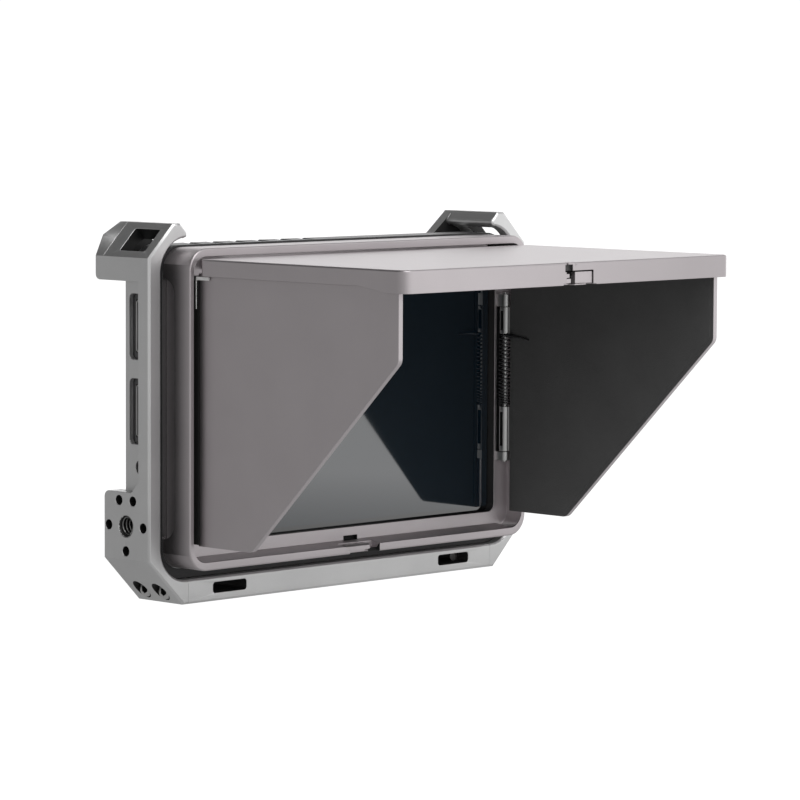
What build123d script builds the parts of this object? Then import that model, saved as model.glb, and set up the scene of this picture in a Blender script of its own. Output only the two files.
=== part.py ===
from build123d import *
import math
import os

os.makedirs("parts", exist_ok=True)

# Frame: X to the viewer's right, Y away from the viewer, Z up, in millimetres.
# The origin is the mouth of the tripod thread in the underside of the cage.

# ---------------------------------------------------------------- driving sizes
# Screen, and the monitor body around it
screen_width = 121.4
screen_height = 68.3
side_border = 10.8
edge_border = 12.65
monitor_width = screen_width + 2 * side_border
monitor_height = screen_height + 2 * edge_border
monitor_corner = 9.0
monitor_side_depth = 12.2
monitor_depth = 27.0
back_slope = 45.0
shell_wall = 1.8
bezel_depth = 2.0
bezel_rim = 2.6
bezel_clear = 0.3
glass_thickness = 1.1
seat_gap = 0.1

# Display stack and boards
lcd_border = 1.2
lcd_thickness = 1.6
backlight_thickness = 2.3
mid_frame_thickness = 1.0
board_margin = 5.5
board_height = 64.0
board_thickness = 1.6
post_inset = 22.5
post_margin = 5.0
ribbon_width = 14.0
post_radius = 3.4
well_depth = 12.0
screw_radius = 1.25
screw_head_radius = 2.25
screw_head_height = 2.5

# Sockets in the side of the monitor
video_port_length = 14.6
video_port_width = 4.9
video_port_depth = 7.4
port_wall = 0.4
cutout_corner = 1.4
port_y = 5.45
upper_port_rise = 24.2
lower_port_rise = 0.5
jack_drop = 15.1
jack_y = 4.2
jack_bore = 1.75
jack_radius = 2.0
dc_jack_radius = 2.8
service_port_length = 9.2
service_port_width = 3.4
side_socket_depth = 7.4

# Cage
cage_wall = 4.8
cage_gap = 0.2
hook_rise = 6.2
cage_setback = 9.3
monitor_inset = 3.0
bar_height = 7.0
seam_inset = 10.06
corner_cut = 13.0
rib_depth = 4.5
rear_wall = 1.6
plate_depth = 13.3
block_depth = 18.7
block_top = 32.0
hook_cut = 9.3
hook_depth = 22.3
hook_length = 16.0
hook_radius = 9.8
hook_clearance = 2.2
tip_top = 2.5
tip_height = 2.6
lip_thickness = 3.3
lip_inner_x = 56.0
lip_height = 9.5
lip_bulge = 2.3
hook_window_depth = 10.4
hook_window_length = 8.4
hook_window_setback = 3.6
edge_break = 0.6

# Cage holes
tripod_thread_radius = 2.6
tripod_thread_mouth = 3.2
base_thread_depth = 5.6
side_thread_y = 9.7
side_thread_z = 22.4
pin_hole_radius = 1.4
pin_hole_depth = 2.6
pin_spread = 7.15
upper_pin_spread = 2.87
upper_pin_rise = 7.2
lower_pin_drop = 7.0
bar_screw_z = 3.5
bar_screw_y = (5.7, 13.6)
bar_screw_length = 12.0
bar_screw_seat = 1.8
strap_slot_length = 13.0
strap_slot_height = 3.1
strap_slot_inset = 15.94
strap_slot_corner = 0.9
dowel_radius = 0.9
dowel_length = 12.0
strap_slot_z = 3.85
tie_screw_x = 27.0
tie_screw_y = 3.0
tie_screw_length = 9.2

# Hood frame
hood_inset = 3.0
hood_bottom_inset = 3.0
hood_top_inset = 0.5
hood_corner = 6.3
hood_reach = 8.06
hood_face = 2.0
hood_side_wall = 1.55
hood_top_wall = 2.3
window_border = 0.4
window_rise = 10.0
window_spare = 3.0
window_corner = 2.5
grip_recess_margin = 8.55
grip_recess_depth = 1.2
magnet_radius = 1.9
magnet_thickness = 1.5
magnet_inset = 3.4
magnet_rise = 14.8

# Hood panels and their hinges
panel_inset = 4.3
panel_thickness = 1.6
panel_front = 85.6
panel_drop = 4.1
panel_rise = 0.2
panel_slope_drop = 20.7
panel_slope_y = 29.2
panel_corner = 3.0
left_panel_clear = 0.15
right_panel_clear = 0.65
lining_thickness = 0.15
lining_inset = 1.2
right_axis_reach = 3.9
left_axis_reach = 6.0
pin_radius = 0.75
pin_running_gap = 0.05
pin_fit = 0.01
knuckle_radius = 1.65
hinge_inset = 0.6
hinge_rise = 15.1
hinge_drop = 10.8
frame_knuckle_low = 2.7
frame_knuckle_high = 3.7
lower_knuckle = 13.6
upper_knuckle = 8.2
knuckle_gap = 0.15
coil_wire = 0.45
coil_turns = 24
coil_arm_length = 8.6

# Lid
lid_inset = 2.0
lid_rear = 9.8
lid_front = 89.3
lid_drop = 2.8
lid_plate = 1.6
lid_skirt_wall = 1.3
lid_skirt_height = 4.8
lid_front_height = 6.3
lid_ramp_start = 72.4
lid_ramp_end = 82.0
lid_corner = 3.2
lid_axis_reach = 7.0
lid_axis_drop = 4.9
lid_knuckle_radius = 1.4
lid_ear_x = 52.0
lid_ear_length = 6.0
lid_knuckle_length = 5.0
lid_pin_overrun = 0.4

# Lid catch
catch_x = 4.0
catch_pocket_length = 14.4
catch_pocket_height = 3.6
catch_pocket_depth = 2.4
catch_length = 10.6
catch_travel = 2.0
catch_clear = 0.2
boss_wall = 1.4
keeper_length = 9.6
keeper_slot = 4.1

# Back of the monitor
fan_inset = 35.5
fan_drop = 7.0
fan_size = 30.0
fan_thickness = 7.0
fan_bore = 14.0
fan_hub = 5.2
fan_shaft = 1.0
fan_blades = 7
sink_from_fan = 38.0
sink_width = 34.0
sink_height = 40.0
sink_base = 2.0
sink_fin = 6.0
sink_fins = 9
battery_height = 40.0
battery_base = 3.0
battery_rail = 2.6
battery_edge = 17.5
battery_fan_gap = 5.0
battery_screw_x = 6.0
battery_screw_z = 5.0
contact_reach = 9.0
contact_step = 7.0
contact_back = 4.0
contact_height = 24.0
contact_finger = 3.0
contact_finger_width = 2.6
stop_back = 1.0
stop_height = 30.0
release_inset = 19.0
release_width = 11.0
release_height = 6.0
release_travel = 2.5
release_clear = 0.25
contact_pitch = 7.4
button_radius = 2.7
button_y = 5.45
button_travel = 0.7
button_clear = 0.12

# ---------------------------------------------------------------- derived places
cage_half = monitor_width / 2 + cage_gap + cage_wall
opening_half = monitor_width / 2 + cage_gap
opening_corner = monitor_corner + cage_gap
seam_x = opening_half - seam_inset
monitor_bottom = bar_height + cage_gap
monitor_top = monitor_bottom + monitor_height
monitor_mid_z = (monitor_bottom + monitor_top) / 2
cage_height = monitor_top + hook_rise
hook_bottom = cage_height - hook_length
hook_arc_z = monitor_top + hook_clearance - hook_radius
lip_bottom = cage_height - lip_height
strap_slot_x = seam_x - strap_slot_inset

upper_port_z = monitor_mid_z + upper_port_rise
lower_port_z = monitor_mid_z + lower_port_rise
jack_z = monitor_mid_z - jack_drop
button_z = upper_port_z
board_width = monitor_width - 2 * board_margin
board_z = monitor_mid_z
post_x = monitor_width / 2 - post_inset
post_z = board_height / 2 - post_margin
fan_x = monitor_width / 2 - fan_inset
fan_z = monitor_mid_z - fan_drop
sink_x = fan_x - sink_from_fan
battery_start = battery_edge - monitor_width / 2
battery_end = fan_x - fan_size / 2 - battery_fan_gap
battery_length = battery_end - battery_start
battery_x = (battery_start + battery_end) / 2
battery_z = monitor_mid_z

hood_width = monitor_width - 2 * hood_inset
hood_bottom = monitor_bottom + hood_bottom_inset
hood_top = monitor_top - hood_top_inset
window_width = screen_width + 2 * window_border
window_bottom = monitor_bottom + window_rise
window_top = window_bottom + screen_height + window_spare
lid_half_width = hood_width / 2 - lid_inset
lid_top = hood_top - lid_drop
lid_axis_z = hood_top - lid_axis_drop
panel_x = hood_width / 2 - panel_inset
hinge_x = panel_x - hinge_inset
panel_top = lid_top - panel_drop
panel_bottom = window_bottom + panel_rise
panel_slope_z = panel_top - panel_slope_drop
hinge_bottom = panel_bottom + hinge_rise
hinge_top = panel_top - hinge_drop

y_cage = -cage_setback
y_monitor = y_cage + monitor_inset
y_side_end = y_monitor + monitor_side_depth
y_back = y_monitor + monitor_depth
y_hood_face = y_cage - hood_face
y_hood_front = y_cage - hood_reach
hood_mid_z = (hood_bottom + hood_top) / 2
hood_height = hood_top - hood_bottom
grip_recess_height = hood_height - 2 * grip_recess_margin
window_mid_z = (window_bottom + window_top) / 2
window_height = window_top - window_bottom

y_glass_back = y_monitor + glass_thickness
y_lcd_back = y_glass_back + lcd_thickness
y_light_back = y_lcd_back + backlight_thickness
y_mid_back = y_light_back + mid_frame_thickness
y_split = y_monitor + bezel_depth
port_center_y = y_monitor + port_y
y_board = port_center_y + video_port_width / 2
y_board_back = y_board + board_thickness
y_wall = y_back - shell_wall
headphone_y = y_monitor + jack_y
dc_jack_y = y_board - dc_jack_radius - 0.1
button_mid_y = y_monitor + button_y
inner_half = monitor_width / 2 - shell_wall


# ---------------------------------------------------------------- shared shapes
def front_plane(y):
    """Plane at depth y that faces the viewer: local x is X, local y is Z."""
    return Plane.XZ.offset(-y)


def plate(width, height, corner, x_mid, z_mid, y_front, depth, mode=Mode.ADD, taper=0):
    """Rounded plate standing in the XZ plane, added to or cut from the open part."""
    with BuildSketch(front_plane(y_front)) as outline:
        with Locations((x_mid, z_mid)):
            RectangleRounded(width, height, corner)
    extrude(outline.sketch, amount=-depth, mode=mode, taper=taper)


def block(x_range, y_range, z_range, mode=Mode.ADD):
    """Square-edged block between two corners."""
    with BuildPart(mode=Mode.PRIVATE) as solid:
        with Locations([((x_range[0] + x_range[1]) / 2, (y_range[0] + y_range[1]) / 2,
                         (z_range[0] + z_range[1]) / 2)]):
            Box(abs(x_range[1] - x_range[0]), abs(y_range[1] - y_range[0]), abs(z_range[1] - z_range[0]))
    add(solid.part, mode=mode)


def rod(start, direction, radius, length, mode=Mode.ADD):
    """Round bar or hole that starts at a point and runs along a direction."""
    with BuildPart(Plane(origin=start, z_dir=direction), mode=Mode.PRIVATE) as solid:
        Cylinder(radius, length, align=(Align.CENTER, Align.CENTER, Align.MIN))
    add(solid.part, mode=mode)


def prism(plane, points, amount, mode=Mode.ADD, both=False):
    """Straight-sided outline drawn on a plane and pushed out by an amount."""
    with BuildSketch(plane) as outline:
        with BuildLine():
            Polyline(*points, close=True)
        make_face()
    extrude(outline.sketch, amount=amount, both=both, mode=mode)


def save(part, name):
    part.label = name
    export_step(part, f"parts/{name}.step")


# ---------------------------------------------------------------- cage side plates
def side_plate(side, cutouts):
    """Milled cage side with its hook, seen from the front; side is -1 left, +1 right."""
    tip_x = opening_half - hook_radius
    with BuildPart() as cage_side:
        with BuildSketch(front_plane(y_cage)):
            with BuildLine():
                Polyline(
                    (side * tip_x, hook_arc_z + hook_radius),
                    (side * tip_x, cage_height - tip_height),
                    (side * (tip_x + tip_top), cage_height),
                    (side * (cage_half - hook_cut), cage_height),
                    (side * cage_half, cage_height - hook_cut),
                    (side * cage_half, corner_cut),
                    (side * (cage_half - corner_cut), 0),
                    (side * seam_x, 0),
                    (side * seam_x, bar_height),
                    (side * (opening_half - opening_corner), bar_height),
                )
                CenterArc(
                    (side * (opening_half - opening_corner), bar_height + opening_corner),
                    opening_corner, 180 if side < 0 else 270, 90,
                )
                Line((side * opening_half, bar_height + opening_corner), (side * opening_half, hook_arc_z))
                CenterArc((side * tip_x, hook_arc_z), hook_radius, 90 if side < 0 else 0, 90)
            make_face()
        extrude(amount=-hook_depth)
        # Side view: thin plate between the deep lower block and the deep hook
        with BuildSketch(Plane.YZ):
            with BuildLine():
                Polyline(
                    (y_cage, 0), (y_cage + block_depth, 0), (y_cage + block_depth, block_top),
                    (y_cage + plate_depth, block_top), (y_cage + plate_depth, hook_bottom),
                    (y_cage + hook_depth, hook_bottom), (y_cage + hook_depth, cage_height),
                    (y_cage, cage_height), close=True,
                )
            make_face()
            rounded = vertices().filter_by_position(Axis.Y, block_top - 1, hook_bottom + 1)
            fillet(rounded.filter_by_position(Axis.X, y_cage + block_depth - 1, y_cage + hook_depth + 1),
                   edge_break * 3)
        extrude(amount=cage_half + 1, both=True, mode=Mode.INTERSECT)
        # The outer face is milled back behind the front rib
        with BuildSketch(front_plane(y_cage + rib_depth)):
            with BuildLine():
                Polyline(
                    (side * (opening_half + rear_wall), block_top),
                    (side * (opening_half + rear_wall), hook_bottom),
                    (side * (cage_half + edge_break), hook_bottom),
                    (side * (cage_half + edge_break), block_top), close=True,
                )
            make_face()
        extrude(amount=-(hook_depth - rib_depth), mode=Mode.SUBTRACT)
        # Sloped foot where the rib meets the top of the block
        foot = rib_depth * 0.65
        prism(Plane.YZ.offset(side * (opening_half + rear_wall / 2)),
              ((y_cage + rib_depth - 0.1, block_top - 0.1), (y_cage + rib_depth + foot, block_top - 0.1),
               (y_cage + rib_depth + foot, block_top), (y_cage + rib_depth, block_top + foot),
               (y_cage + rib_depth - 0.1, block_top + foot)), side * (cage_wall - rear_wall / 2))
        # Rear lip of the hook, which wraps behind the monitor's corner
        lip_plan = (
            (side * cage_half, hook_bottom),
            (side * cage_half, cage_height - hook_cut),
            (side * (cage_half - hook_cut / 2 + 0.1), cage_height - hook_cut / 2 + 0.1),
            (side * (cage_half - hook_cut), cage_height),
            (side * (tip_x + tip_height), cage_height),
            (side * lip_inner_x, lip_bottom + tip_height),
            (side * lip_inner_x, lip_bottom),
            (side * (opening_half - hook_cut * 0.73), lip_bottom),
            (side * (opening_half - cage_wall * 0.75), hook_bottom + cage_wall * 0.69),
            (side * (opening_half - cage_wall * 0.75), hook_bottom),
        )
        lip_back = list(lip_plan)
        lip_back[2] = (side * (cage_half - hook_cut / 2 + lip_bulge / 2 + 0.7),
                       cage_height - hook_cut / 2 + lip_bulge / 2)
        for y, outline in ((y_cage + hook_depth - lip_thickness, lip_plan),
                           (y_cage + hook_depth, lip_back)):
            with BuildSketch(front_plane(y)):
                with BuildLine():
                    Polyline(*outline, close=True)
                make_face()
        loft(ruled=True)
        # Strap window through the sloping face of the hook
        slope = 1 / math.sqrt(2)
        window_plane = Plane(
            origin=(side * (cage_half - hook_cut / 2),
                    y_cage + hook_window_setback + hook_window_depth / 2,
                    cage_height - hook_cut / 2),
            x_dir=(0, 1, 0), z_dir=(side * slope, 0, slope),
        )
        with BuildSketch(window_plane):
            RectangleRounded(hook_window_depth, hook_window_length, edge_break)
        extrude(amount=-hook_cut, mode=Mode.SUBTRACT)
        # Front edges are broken all round, except at the seam with the bottom bar
        front_edges = faces().sort_by(Axis.Y)[0].edges()
        chamfer(front_edges.filter_by(lambda e: abs(abs(e.center().X) - seam_x) > 0.1), edge_break)
        # Tripod thread with locating holes around it, on the outer face of the block
        thread_y = y_cage + side_thread_y
        outward = (side, 0, 0)
        rod((side * (opening_half - 1), thread_y, side_thread_z), outward, tripod_thread_radius,
            cage_wall + 2, Mode.SUBTRACT)
        with BuildPart(Plane(origin=(side * cage_half, thread_y, side_thread_z), z_dir=outward),
                       mode=Mode.SUBTRACT):
            Cone(tripod_thread_radius, tripod_thread_mouth, tripod_thread_mouth - tripod_thread_radius,
                 align=(Align.CENTER, Align.CENTER, Align.MAX))
        for dy, dz in ((-pin_spread, 0), (pin_spread, 0), (-upper_pin_spread, upper_pin_rise),
                       (upper_pin_spread, upper_pin_rise), (0, -lower_pin_drop)):
            rod((side * (cage_half - pin_hole_depth), thread_y + dy, side_thread_z + dz), outward,
                pin_hole_radius, pin_hole_depth + 1, Mode.SUBTRACT)
        # Counterbored screws from the corner into the bottom bar
        for dy in bar_screw_y:
            seat = (side * (seam_x + bar_screw_seat), y_cage + dy, bar_screw_z)
            rod(seat, outward, screw_head_radius + 0.25, corner_cut, Mode.SUBTRACT)
            rod((side * (seam_x - 1), y_cage + dy, bar_screw_z), outward, screw_radius + 0.15,
                bar_screw_seat + 2, Mode.SUBTRACT)
        # Cut-outs for the sockets or the button, through the thin wall
        for y_mid, z_mid, width, height, corner in cutouts:
            with BuildSketch(Plane.YZ.offset(side * (opening_half - 1))) as opening:
                with Locations((y_mid, z_mid)):
                    RectangleRounded(width, height, corner)
            extrude(opening.sketch, amount=side * (rear_wall + 2), mode=Mode.SUBTRACT)
    return cage_side.part


video_cutout = (video_port_width + 1.6, video_port_length + 3.8, cutout_corner)
service_cutout = (service_port_width + 3.0, service_port_length + 2.8, service_port_width * 0.9)
button_cutout = (button_radius * 2 + 1.2, button_radius * 2 + 5, button_radius + 0.55)
left_cutouts = (
    (port_center_y, upper_port_z, *video_cutout),
    (port_center_y, lower_port_z, *video_cutout),
    (headphone_y, jack_z, jack_radius * 2 - 0.2, jack_radius * 2 - 0.1, jack_radius - 0.15),
)
right_cutouts = (
    (button_mid_y, button_z, *button_cutout),
    (port_center_y, lower_port_z, *service_cutout),
    (dc_jack_y, jack_z, dc_jack_radius * 2 + 1.0, dc_jack_radius * 2 + 1.2, dc_jack_radius + 0.45),
)
# Each side is made in two pieces, a corner block and the plate with the hook, which meet at the
# top of the block and are held together by a dowel in the front rib.
dowel_x = opening_half + cage_wall / 2
dowel_y = y_cage + rib_depth / 2
for side, name, cutouts in ((-1, "left", left_cutouts), (1, "right", right_cutouts)):
    whole_side = side_plate(side, cutouts)
    for piece_name, keep in (("plate", Keep.TOP), ("block", Keep.BOTTOM)):
        with BuildPart() as cage_piece:
            add(whole_side)
            split(bisect_by=Plane.XY.offset(block_top), keep=keep)
            rod((side * dowel_x, dowel_y, block_top - dowel_length / 2), (0, 0, 1),
                dowel_radius + pin_fit, dowel_length, Mode.SUBTRACT)
        save(cage_piece.part, f"cage_{name}_{piece_name}")

with BuildPart() as cage_dowels:
    for side in (-1, 1):
        rod((side * dowel_x, dowel_y, block_top - dowel_length / 2 + seat_gap), (0, 0, 1), dowel_radius,
            dowel_length - 2 * seat_gap)
    chamfer(edges().group_by(Axis.Z)[0] + edges().group_by(Axis.Z)[-1], 0.15)
save(cage_dowels.part, "cage_dowels")

# ---------------------------------------------------------------- cage bottom bar
with BuildPart() as cage_bottom_bar:
    block((-seam_x, seam_x), (y_cage, y_cage + block_depth), (0, bar_height))
    chamfer(faces().sort_by(Axis.Y)[0].edges().filter_by(Axis.X), edge_break)
    chamfer(edges().filter_by(Axis.X).group_by(Axis.Y)[-1].sort_by(Axis.Z)[0], edge_break)
    # Low rear lip with a slope that follows the monitor's back
    lip_start = y_side_end + cage_gap * 2
    prism(Plane.YZ, ((lip_start, bar_height - 0.5), (y_cage + block_depth, bar_height - 0.5),
                     (y_cage + block_depth, bar_height + y_cage + block_depth - lip_start),
                     (lip_start, bar_height)), seam_x * 0.7, both=True)
    for slot_x in (-strap_slot_x, strap_slot_x):
        with BuildSketch(front_plane(y_cage)) as strap_slot:
            with Locations((slot_x, strap_slot_z)):
                RectangleRounded(strap_slot_length, strap_slot_height, strap_slot_corner)
        extrude(strap_slot.sketch, amount=-block_depth, mode=Mode.SUBTRACT)
    rod((0, 0, 0), (0, 0, 1), tripod_thread_radius, base_thread_depth, Mode.SUBTRACT)
    for pin_x in (-pin_spread, pin_spread):
        rod((pin_x, 0, 0), (0, 0, 1), pin_hole_radius, pin_hole_depth, Mode.SUBTRACT)
    for tie_x in (-tie_screw_x, tie_screw_x):
        rod((tie_x, tie_screw_y, -1), (0, 0, 1), screw_radius + 0.15, bar_height + 2, Mode.SUBTRACT)
        rod((tie_x, tie_screw_y, 0), (0, 0, 1), screw_head_radius + 0.25, screw_head_height + 0.3,
            Mode.SUBTRACT)
    for end in (-1, 1):
        for dy in bar_screw_y:
            rod((end * (seam_x + 1), y_cage + dy, bar_screw_z), (-end, 0, 0), screw_radius + 0.02,
                bar_screw_length - bar_screw_seat + 1.5, Mode.SUBTRACT)
save(cage_bottom_bar.part, "cage_bottom_bar")


# ---------------------------------------------------------------- screws
def socket_screw(seat, direction, length):
    """Cylinder-head screw with a hexagon socket; direction points out of the head."""
    inward = tuple(-value for value in direction)
    rod(seat, inward, screw_radius, length)
    rod(seat, direction, screw_head_radius, screw_head_height)
    with BuildSketch(Plane(origin=seat, z_dir=direction).offset(screw_head_height)) as socket:
        RegularPolygon(1.2, 6)
    extrude(socket.sketch, amount=-screw_head_height * 0.55, mode=Mode.SUBTRACT)


with BuildPart() as cage_screws:
    for end in (-1, 1):
        for dy in bar_screw_y:
            socket_screw((end * (seam_x + bar_screw_seat), y_cage + dy, bar_screw_z), (end, 0, 0),
                         bar_screw_length)
save(cage_screws.part, "cage_screws")

with BuildPart() as tie_screws:
    for tie_x in (-tie_screw_x, tie_screw_x):
        socket_screw((tie_x, tie_screw_y, screw_head_height + 0.3), (0, 0, -1), tie_screw_length)
save(tie_screws.part, "tie_screws")

# Thin pads that carry the monitor on the bottom bar
with BuildPart() as cage_pads:
    for pad_x in (-strap_slot_x, strap_slot_x):
        block((pad_x - 10, pad_x + 10), (y_monitor + 1.5, y_side_end - 1.5), (bar_height, monitor_bottom))
save(cage_pads.part, "cage_pads")

# ---------------------------------------------------------------- monitor front
glass_width = monitor_width - 2 * bezel_rim - 2 * seat_gap
glass_height = monitor_height - 2 * bezel_rim - 2 * seat_gap
glass_corner = monitor_corner - bezel_rim
stack_width = screen_width + 2 * lcd_border
stack_height = screen_height + 2 * lcd_border

with BuildPart() as monitor_bezel:
    plate(monitor_width, monitor_height, monitor_corner, 0, monitor_mid_z, y_monitor, bezel_depth)
    plate(glass_width + 2 * seat_gap, glass_height + 2 * seat_gap, glass_corner + seat_gap, 0,
          monitor_mid_z, y_monitor, glass_thickness, Mode.SUBTRACT)
    plate(stack_width + 2 * bezel_clear, stack_height + 2 * bezel_clear, 1.0, 0, window_mid_z,
          y_monitor, bezel_depth, Mode.SUBTRACT)
save(monitor_bezel.part, "monitor_bezel")

with BuildPart() as screen_glass:
    plate(glass_width, glass_height, glass_corner, 0, monitor_mid_z, y_monitor, glass_thickness)
save(screen_glass.part, "screen_glass")

with BuildPart() as lcd_panel:
    plate(stack_width, stack_height, 0.6, 0, window_mid_z, y_glass_back, lcd_thickness)
save(lcd_panel.part, "lcd_panel")

with BuildPart() as backlight:
    plate(stack_width, stack_height, 0.6, 0, window_mid_z, y_lcd_back, backlight_thickness)
save(backlight.part, "backlight")

# Flat cable from the display's lower edge, through the mid frame, to the board
ribbon_z = window_mid_z - stack_height / 2
with BuildPart() as display_ribbon:
    prism(Plane.YZ, (
        (y_glass_back + 1.0, ribbon_z), (y_glass_back + 1.0, ribbon_z - 1.9), (y_board, ribbon_z - 1.9),
        (y_board, ribbon_z + 9), (y_board - 0.3, ribbon_z + 9), (y_board - 0.3, ribbon_z - 1.6),
        (y_glass_back + 1.3, ribbon_z - 1.6), (y_glass_back + 1.3, ribbon_z)),
        ribbon_width / 2, both=True)
save(display_ribbon.part, "display_ribbon")

post_places = [(x, board_z + z) for x in (-post_x, post_x) for z in (-post_z, post_z)]

with BuildPart() as mid_frame:
    plate(stack_width + 1.2, monitor_height - 2 * shell_wall - 2 * bezel_clear, 1.5, 0, monitor_mid_z,
          y_light_back, mid_frame_thickness)
    block((-ribbon_width / 2 - 1, ribbon_width / 2 + 1), (y_light_back, y_mid_back),
          (ribbon_z - 3.4, ribbon_z - 0.6), Mode.SUBTRACT)
    for x, z in post_places:
        rod((x, y_mid_back, z), (0, 1, 0), post_radius, y_board - y_mid_back)
        rod((x, y_board, z), (0, -1, 0), screw_radius + 0.02, y_board - y_light_back, Mode.SUBTRACT)
save(mid_frame.part, "mid_frame")

# ---------------------------------------------------------------- boards and sockets
chip_height = 1.2
with BuildPart() as main_board:
    plate(board_width, board_height, 1.5, 0, board_z, y_board, board_thickness)
    for x, z in post_places:
        rod((x, y_board, z), (0, 1, 0), screw_radius + 0.15, board_thickness, Mode.SUBTRACT)
    block((sink_x - 7, sink_x + 7), (y_board_back, y_board_back + chip_height), (fan_z - 7, fan_z + 7))
    for x, rise, width, height in ((-40, 8, 10, 10), (-42, -16, 14, 6), (36, 22, 8, 8), (18, 20, 6, 9),
                                   (-24, 24, 12, 4), (56, 8, 7, 14), (40, -23, 10, 4)):
        block((x - width / 2, x + width / 2), (y_board_back, y_board_back + 1.0),
              (board_z + rise - height / 2, board_z + rise + height / 2))
save(main_board.part, "main_board")


def video_port(z):
    """Flat socket with a metal shell and a tongue, open to the left."""
    face = -monitor_width / 2
    with BuildPart() as socket:
        block((face, face + video_port_depth),
              (port_center_y - video_port_width / 2, port_center_y + video_port_width / 2),
              (z - video_port_length / 2, z + video_port_length / 2))
        fillet(edges().filter_by(Axis.X), video_port_width * 0.18)
        block((face, face + video_port_depth - 1),
              (port_center_y - video_port_width / 2 + port_wall, port_center_y + video_port_width / 2
               - port_wall),
              (z - video_port_length / 2 + port_wall, z + video_port_length / 2 - port_wall),
              Mode.SUBTRACT)
        block((face + 1.2, face + video_port_depth - 0.5), (port_center_y - 0.2, port_center_y + 0.9),
              (z - video_port_length / 2 + 2.2, z + video_port_length / 2 - 2.2))
    return socket.part


save(video_port(upper_port_z), "video_port_upper")
save(video_port(lower_port_z), "video_port_lower")


def round_socket(side, y, z, radius, bore, centre_pin):
    """Round socket with a square body on the board, open at the side of the monitor."""
    face = side * monitor_width / 2
    with BuildPart() as socket:
        rod((face, y, z), (-side, 0, 0), radius, side_socket_depth)
        block((face - side * (shell_wall + 0.4), face - side * side_socket_depth), (y - radius, y_board),
              (z - radius, z + radius))
        rod((face, y, z), (-side, 0, 0), bore, side_socket_depth - 1, Mode.SUBTRACT)
        if centre_pin:
            rod((face - side, y, z), (-side, 0, 0), bore * 0.3, side_socket_depth - 1.5)
    return socket.part


save(round_socket(-1, headphone_y, jack_z, jack_radius, jack_bore, False), "headphone_jack")
save(round_socket(1, dc_jack_y, jack_z, dc_jack_radius, dc_jack_radius - 0.6, True), "dc_jack")

with BuildPart() as service_port:
    service_face = monitor_width / 2
    with BuildSketch(Plane.YZ.offset(service_face)) as service_outline:
        with Locations((port_center_y, lower_port_z)):
            SlotOverall(service_port_length, service_port_width, rotation=90)
    extrude(service_outline.sketch, amount=-side_socket_depth)
    with BuildSketch(Plane.YZ.offset(service_face)) as service_bore:
        with Locations((port_center_y, lower_port_z)):
            SlotOverall(service_port_length - 0.7, service_port_width - 0.7, rotation=90)
    extrude(service_bore.sketch, amount=-(side_socket_depth - 1), mode=Mode.SUBTRACT)
    block((service_face - 1.2, service_face - side_socket_depth + 0.5),
          (port_center_y - 0.35, port_center_y + 0.35), (lower_port_z - 3, lower_port_z + 3))
    block((service_face - side_socket_depth, service_face - side_socket_depth + 4),
          (port_center_y + service_port_width / 2 - 0.4, y_board), (lower_port_z - 2.8, lower_port_z + 2.8))
save(service_port.part, "service_port")

# ---------------------------------------------------------------- power button
button_face = monitor_width / 2
button_x = button_face + 0.6
flange_thickness = 0.8
stem_end = inner_half - 0.1 - flange_thickness - 1.2
with BuildPart() as power_button:
    rod((button_x, button_mid_y, button_z), (-1, 0, 0), button_radius, button_x - inner_half + 0.1)
    fillet(faces().sort_by(Axis.X)[-1].edges(), 0.4)
    rod((inner_half - 0.1, button_mid_y, button_z), (-1, 0, 0), button_radius + 0.6, flange_thickness)
    rod((inner_half - 0.1, button_mid_y, button_z), (-1, 0, 0), 1.2, inner_half - 0.1 - stem_end)
save(power_button.part, "power_button")

with BuildPart() as power_switch:
    block((stem_end - button_travel - 0.1 - 3.4, stem_end - button_travel - 0.1 - 0.5),
          (button_mid_y - 2.4, y_board), (button_z - 3, button_z + 3))
    rod((stem_end - button_travel - 0.1, button_mid_y, button_z), (-1, 0, 0), 1.0, 1.0)
save(power_switch.part, "power_switch")

# ---------------------------------------------------------------- heat sink and fan
with BuildPart() as heatsink:
    sink_y = y_board_back + chip_height
    block((sink_x - sink_width / 2, sink_x + sink_width / 2), (sink_y, sink_y + sink_base),
          (fan_z - sink_height / 2, fan_z + sink_height / 2))
    fin_pitch = sink_height / sink_fins
    for fin in range(sink_fins):
        fin_z = fan_z - sink_height / 2 + fin_pitch * (fin + 0.5)
        block((sink_x - sink_width / 2, sink_x + sink_width / 2),
              (sink_y + sink_base, sink_y + sink_base + sink_fin), (fin_z - 0.6, fin_z + 0.6))
save(heatsink.part, "heatsink")

fan_front = y_wall - fan_thickness
hub_floor = 1.0
bearing_radius = 2.2
with BuildPart() as fan_frame:
    plate(fan_size, fan_size, 2.0, fan_x, fan_z, fan_front, fan_thickness)
    rod((fan_x, fan_front, fan_z), (0, 1, 0), fan_bore, fan_thickness, Mode.SUBTRACT)
    rod((fan_x, y_wall - hub_floor, fan_z), (0, 1, 0), fan_hub, hub_floor)
    for spoke in range(3):
        angle = math.radians(90 + spoke * 120)
        spoke_plane = Plane(origin=(fan_x, y_wall - hub_floor / 2, fan_z),
                            x_dir=(math.cos(angle), 0, math.sin(angle)), z_dir=(0, 1, 0))
        with BuildPart(spoke_plane, mode=Mode.PRIVATE) as strut:
            Box(fan_bore + 0.8, 1.8, hub_floor, align=(Align.MIN, Align.CENTER, Align.CENTER))
        add(strut.part)
    rod((fan_x, fan_front + 2.6, fan_z), (0, 1, 0), bearing_radius, fan_thickness - hub_floor - 2.6)
    rod((fan_x, fan_front, fan_z), (0, 1, 0), fan_shaft + pin_running_gap, fan_thickness + 1,
        Mode.SUBTRACT)
save(fan_frame.part, "fan_frame")

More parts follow.
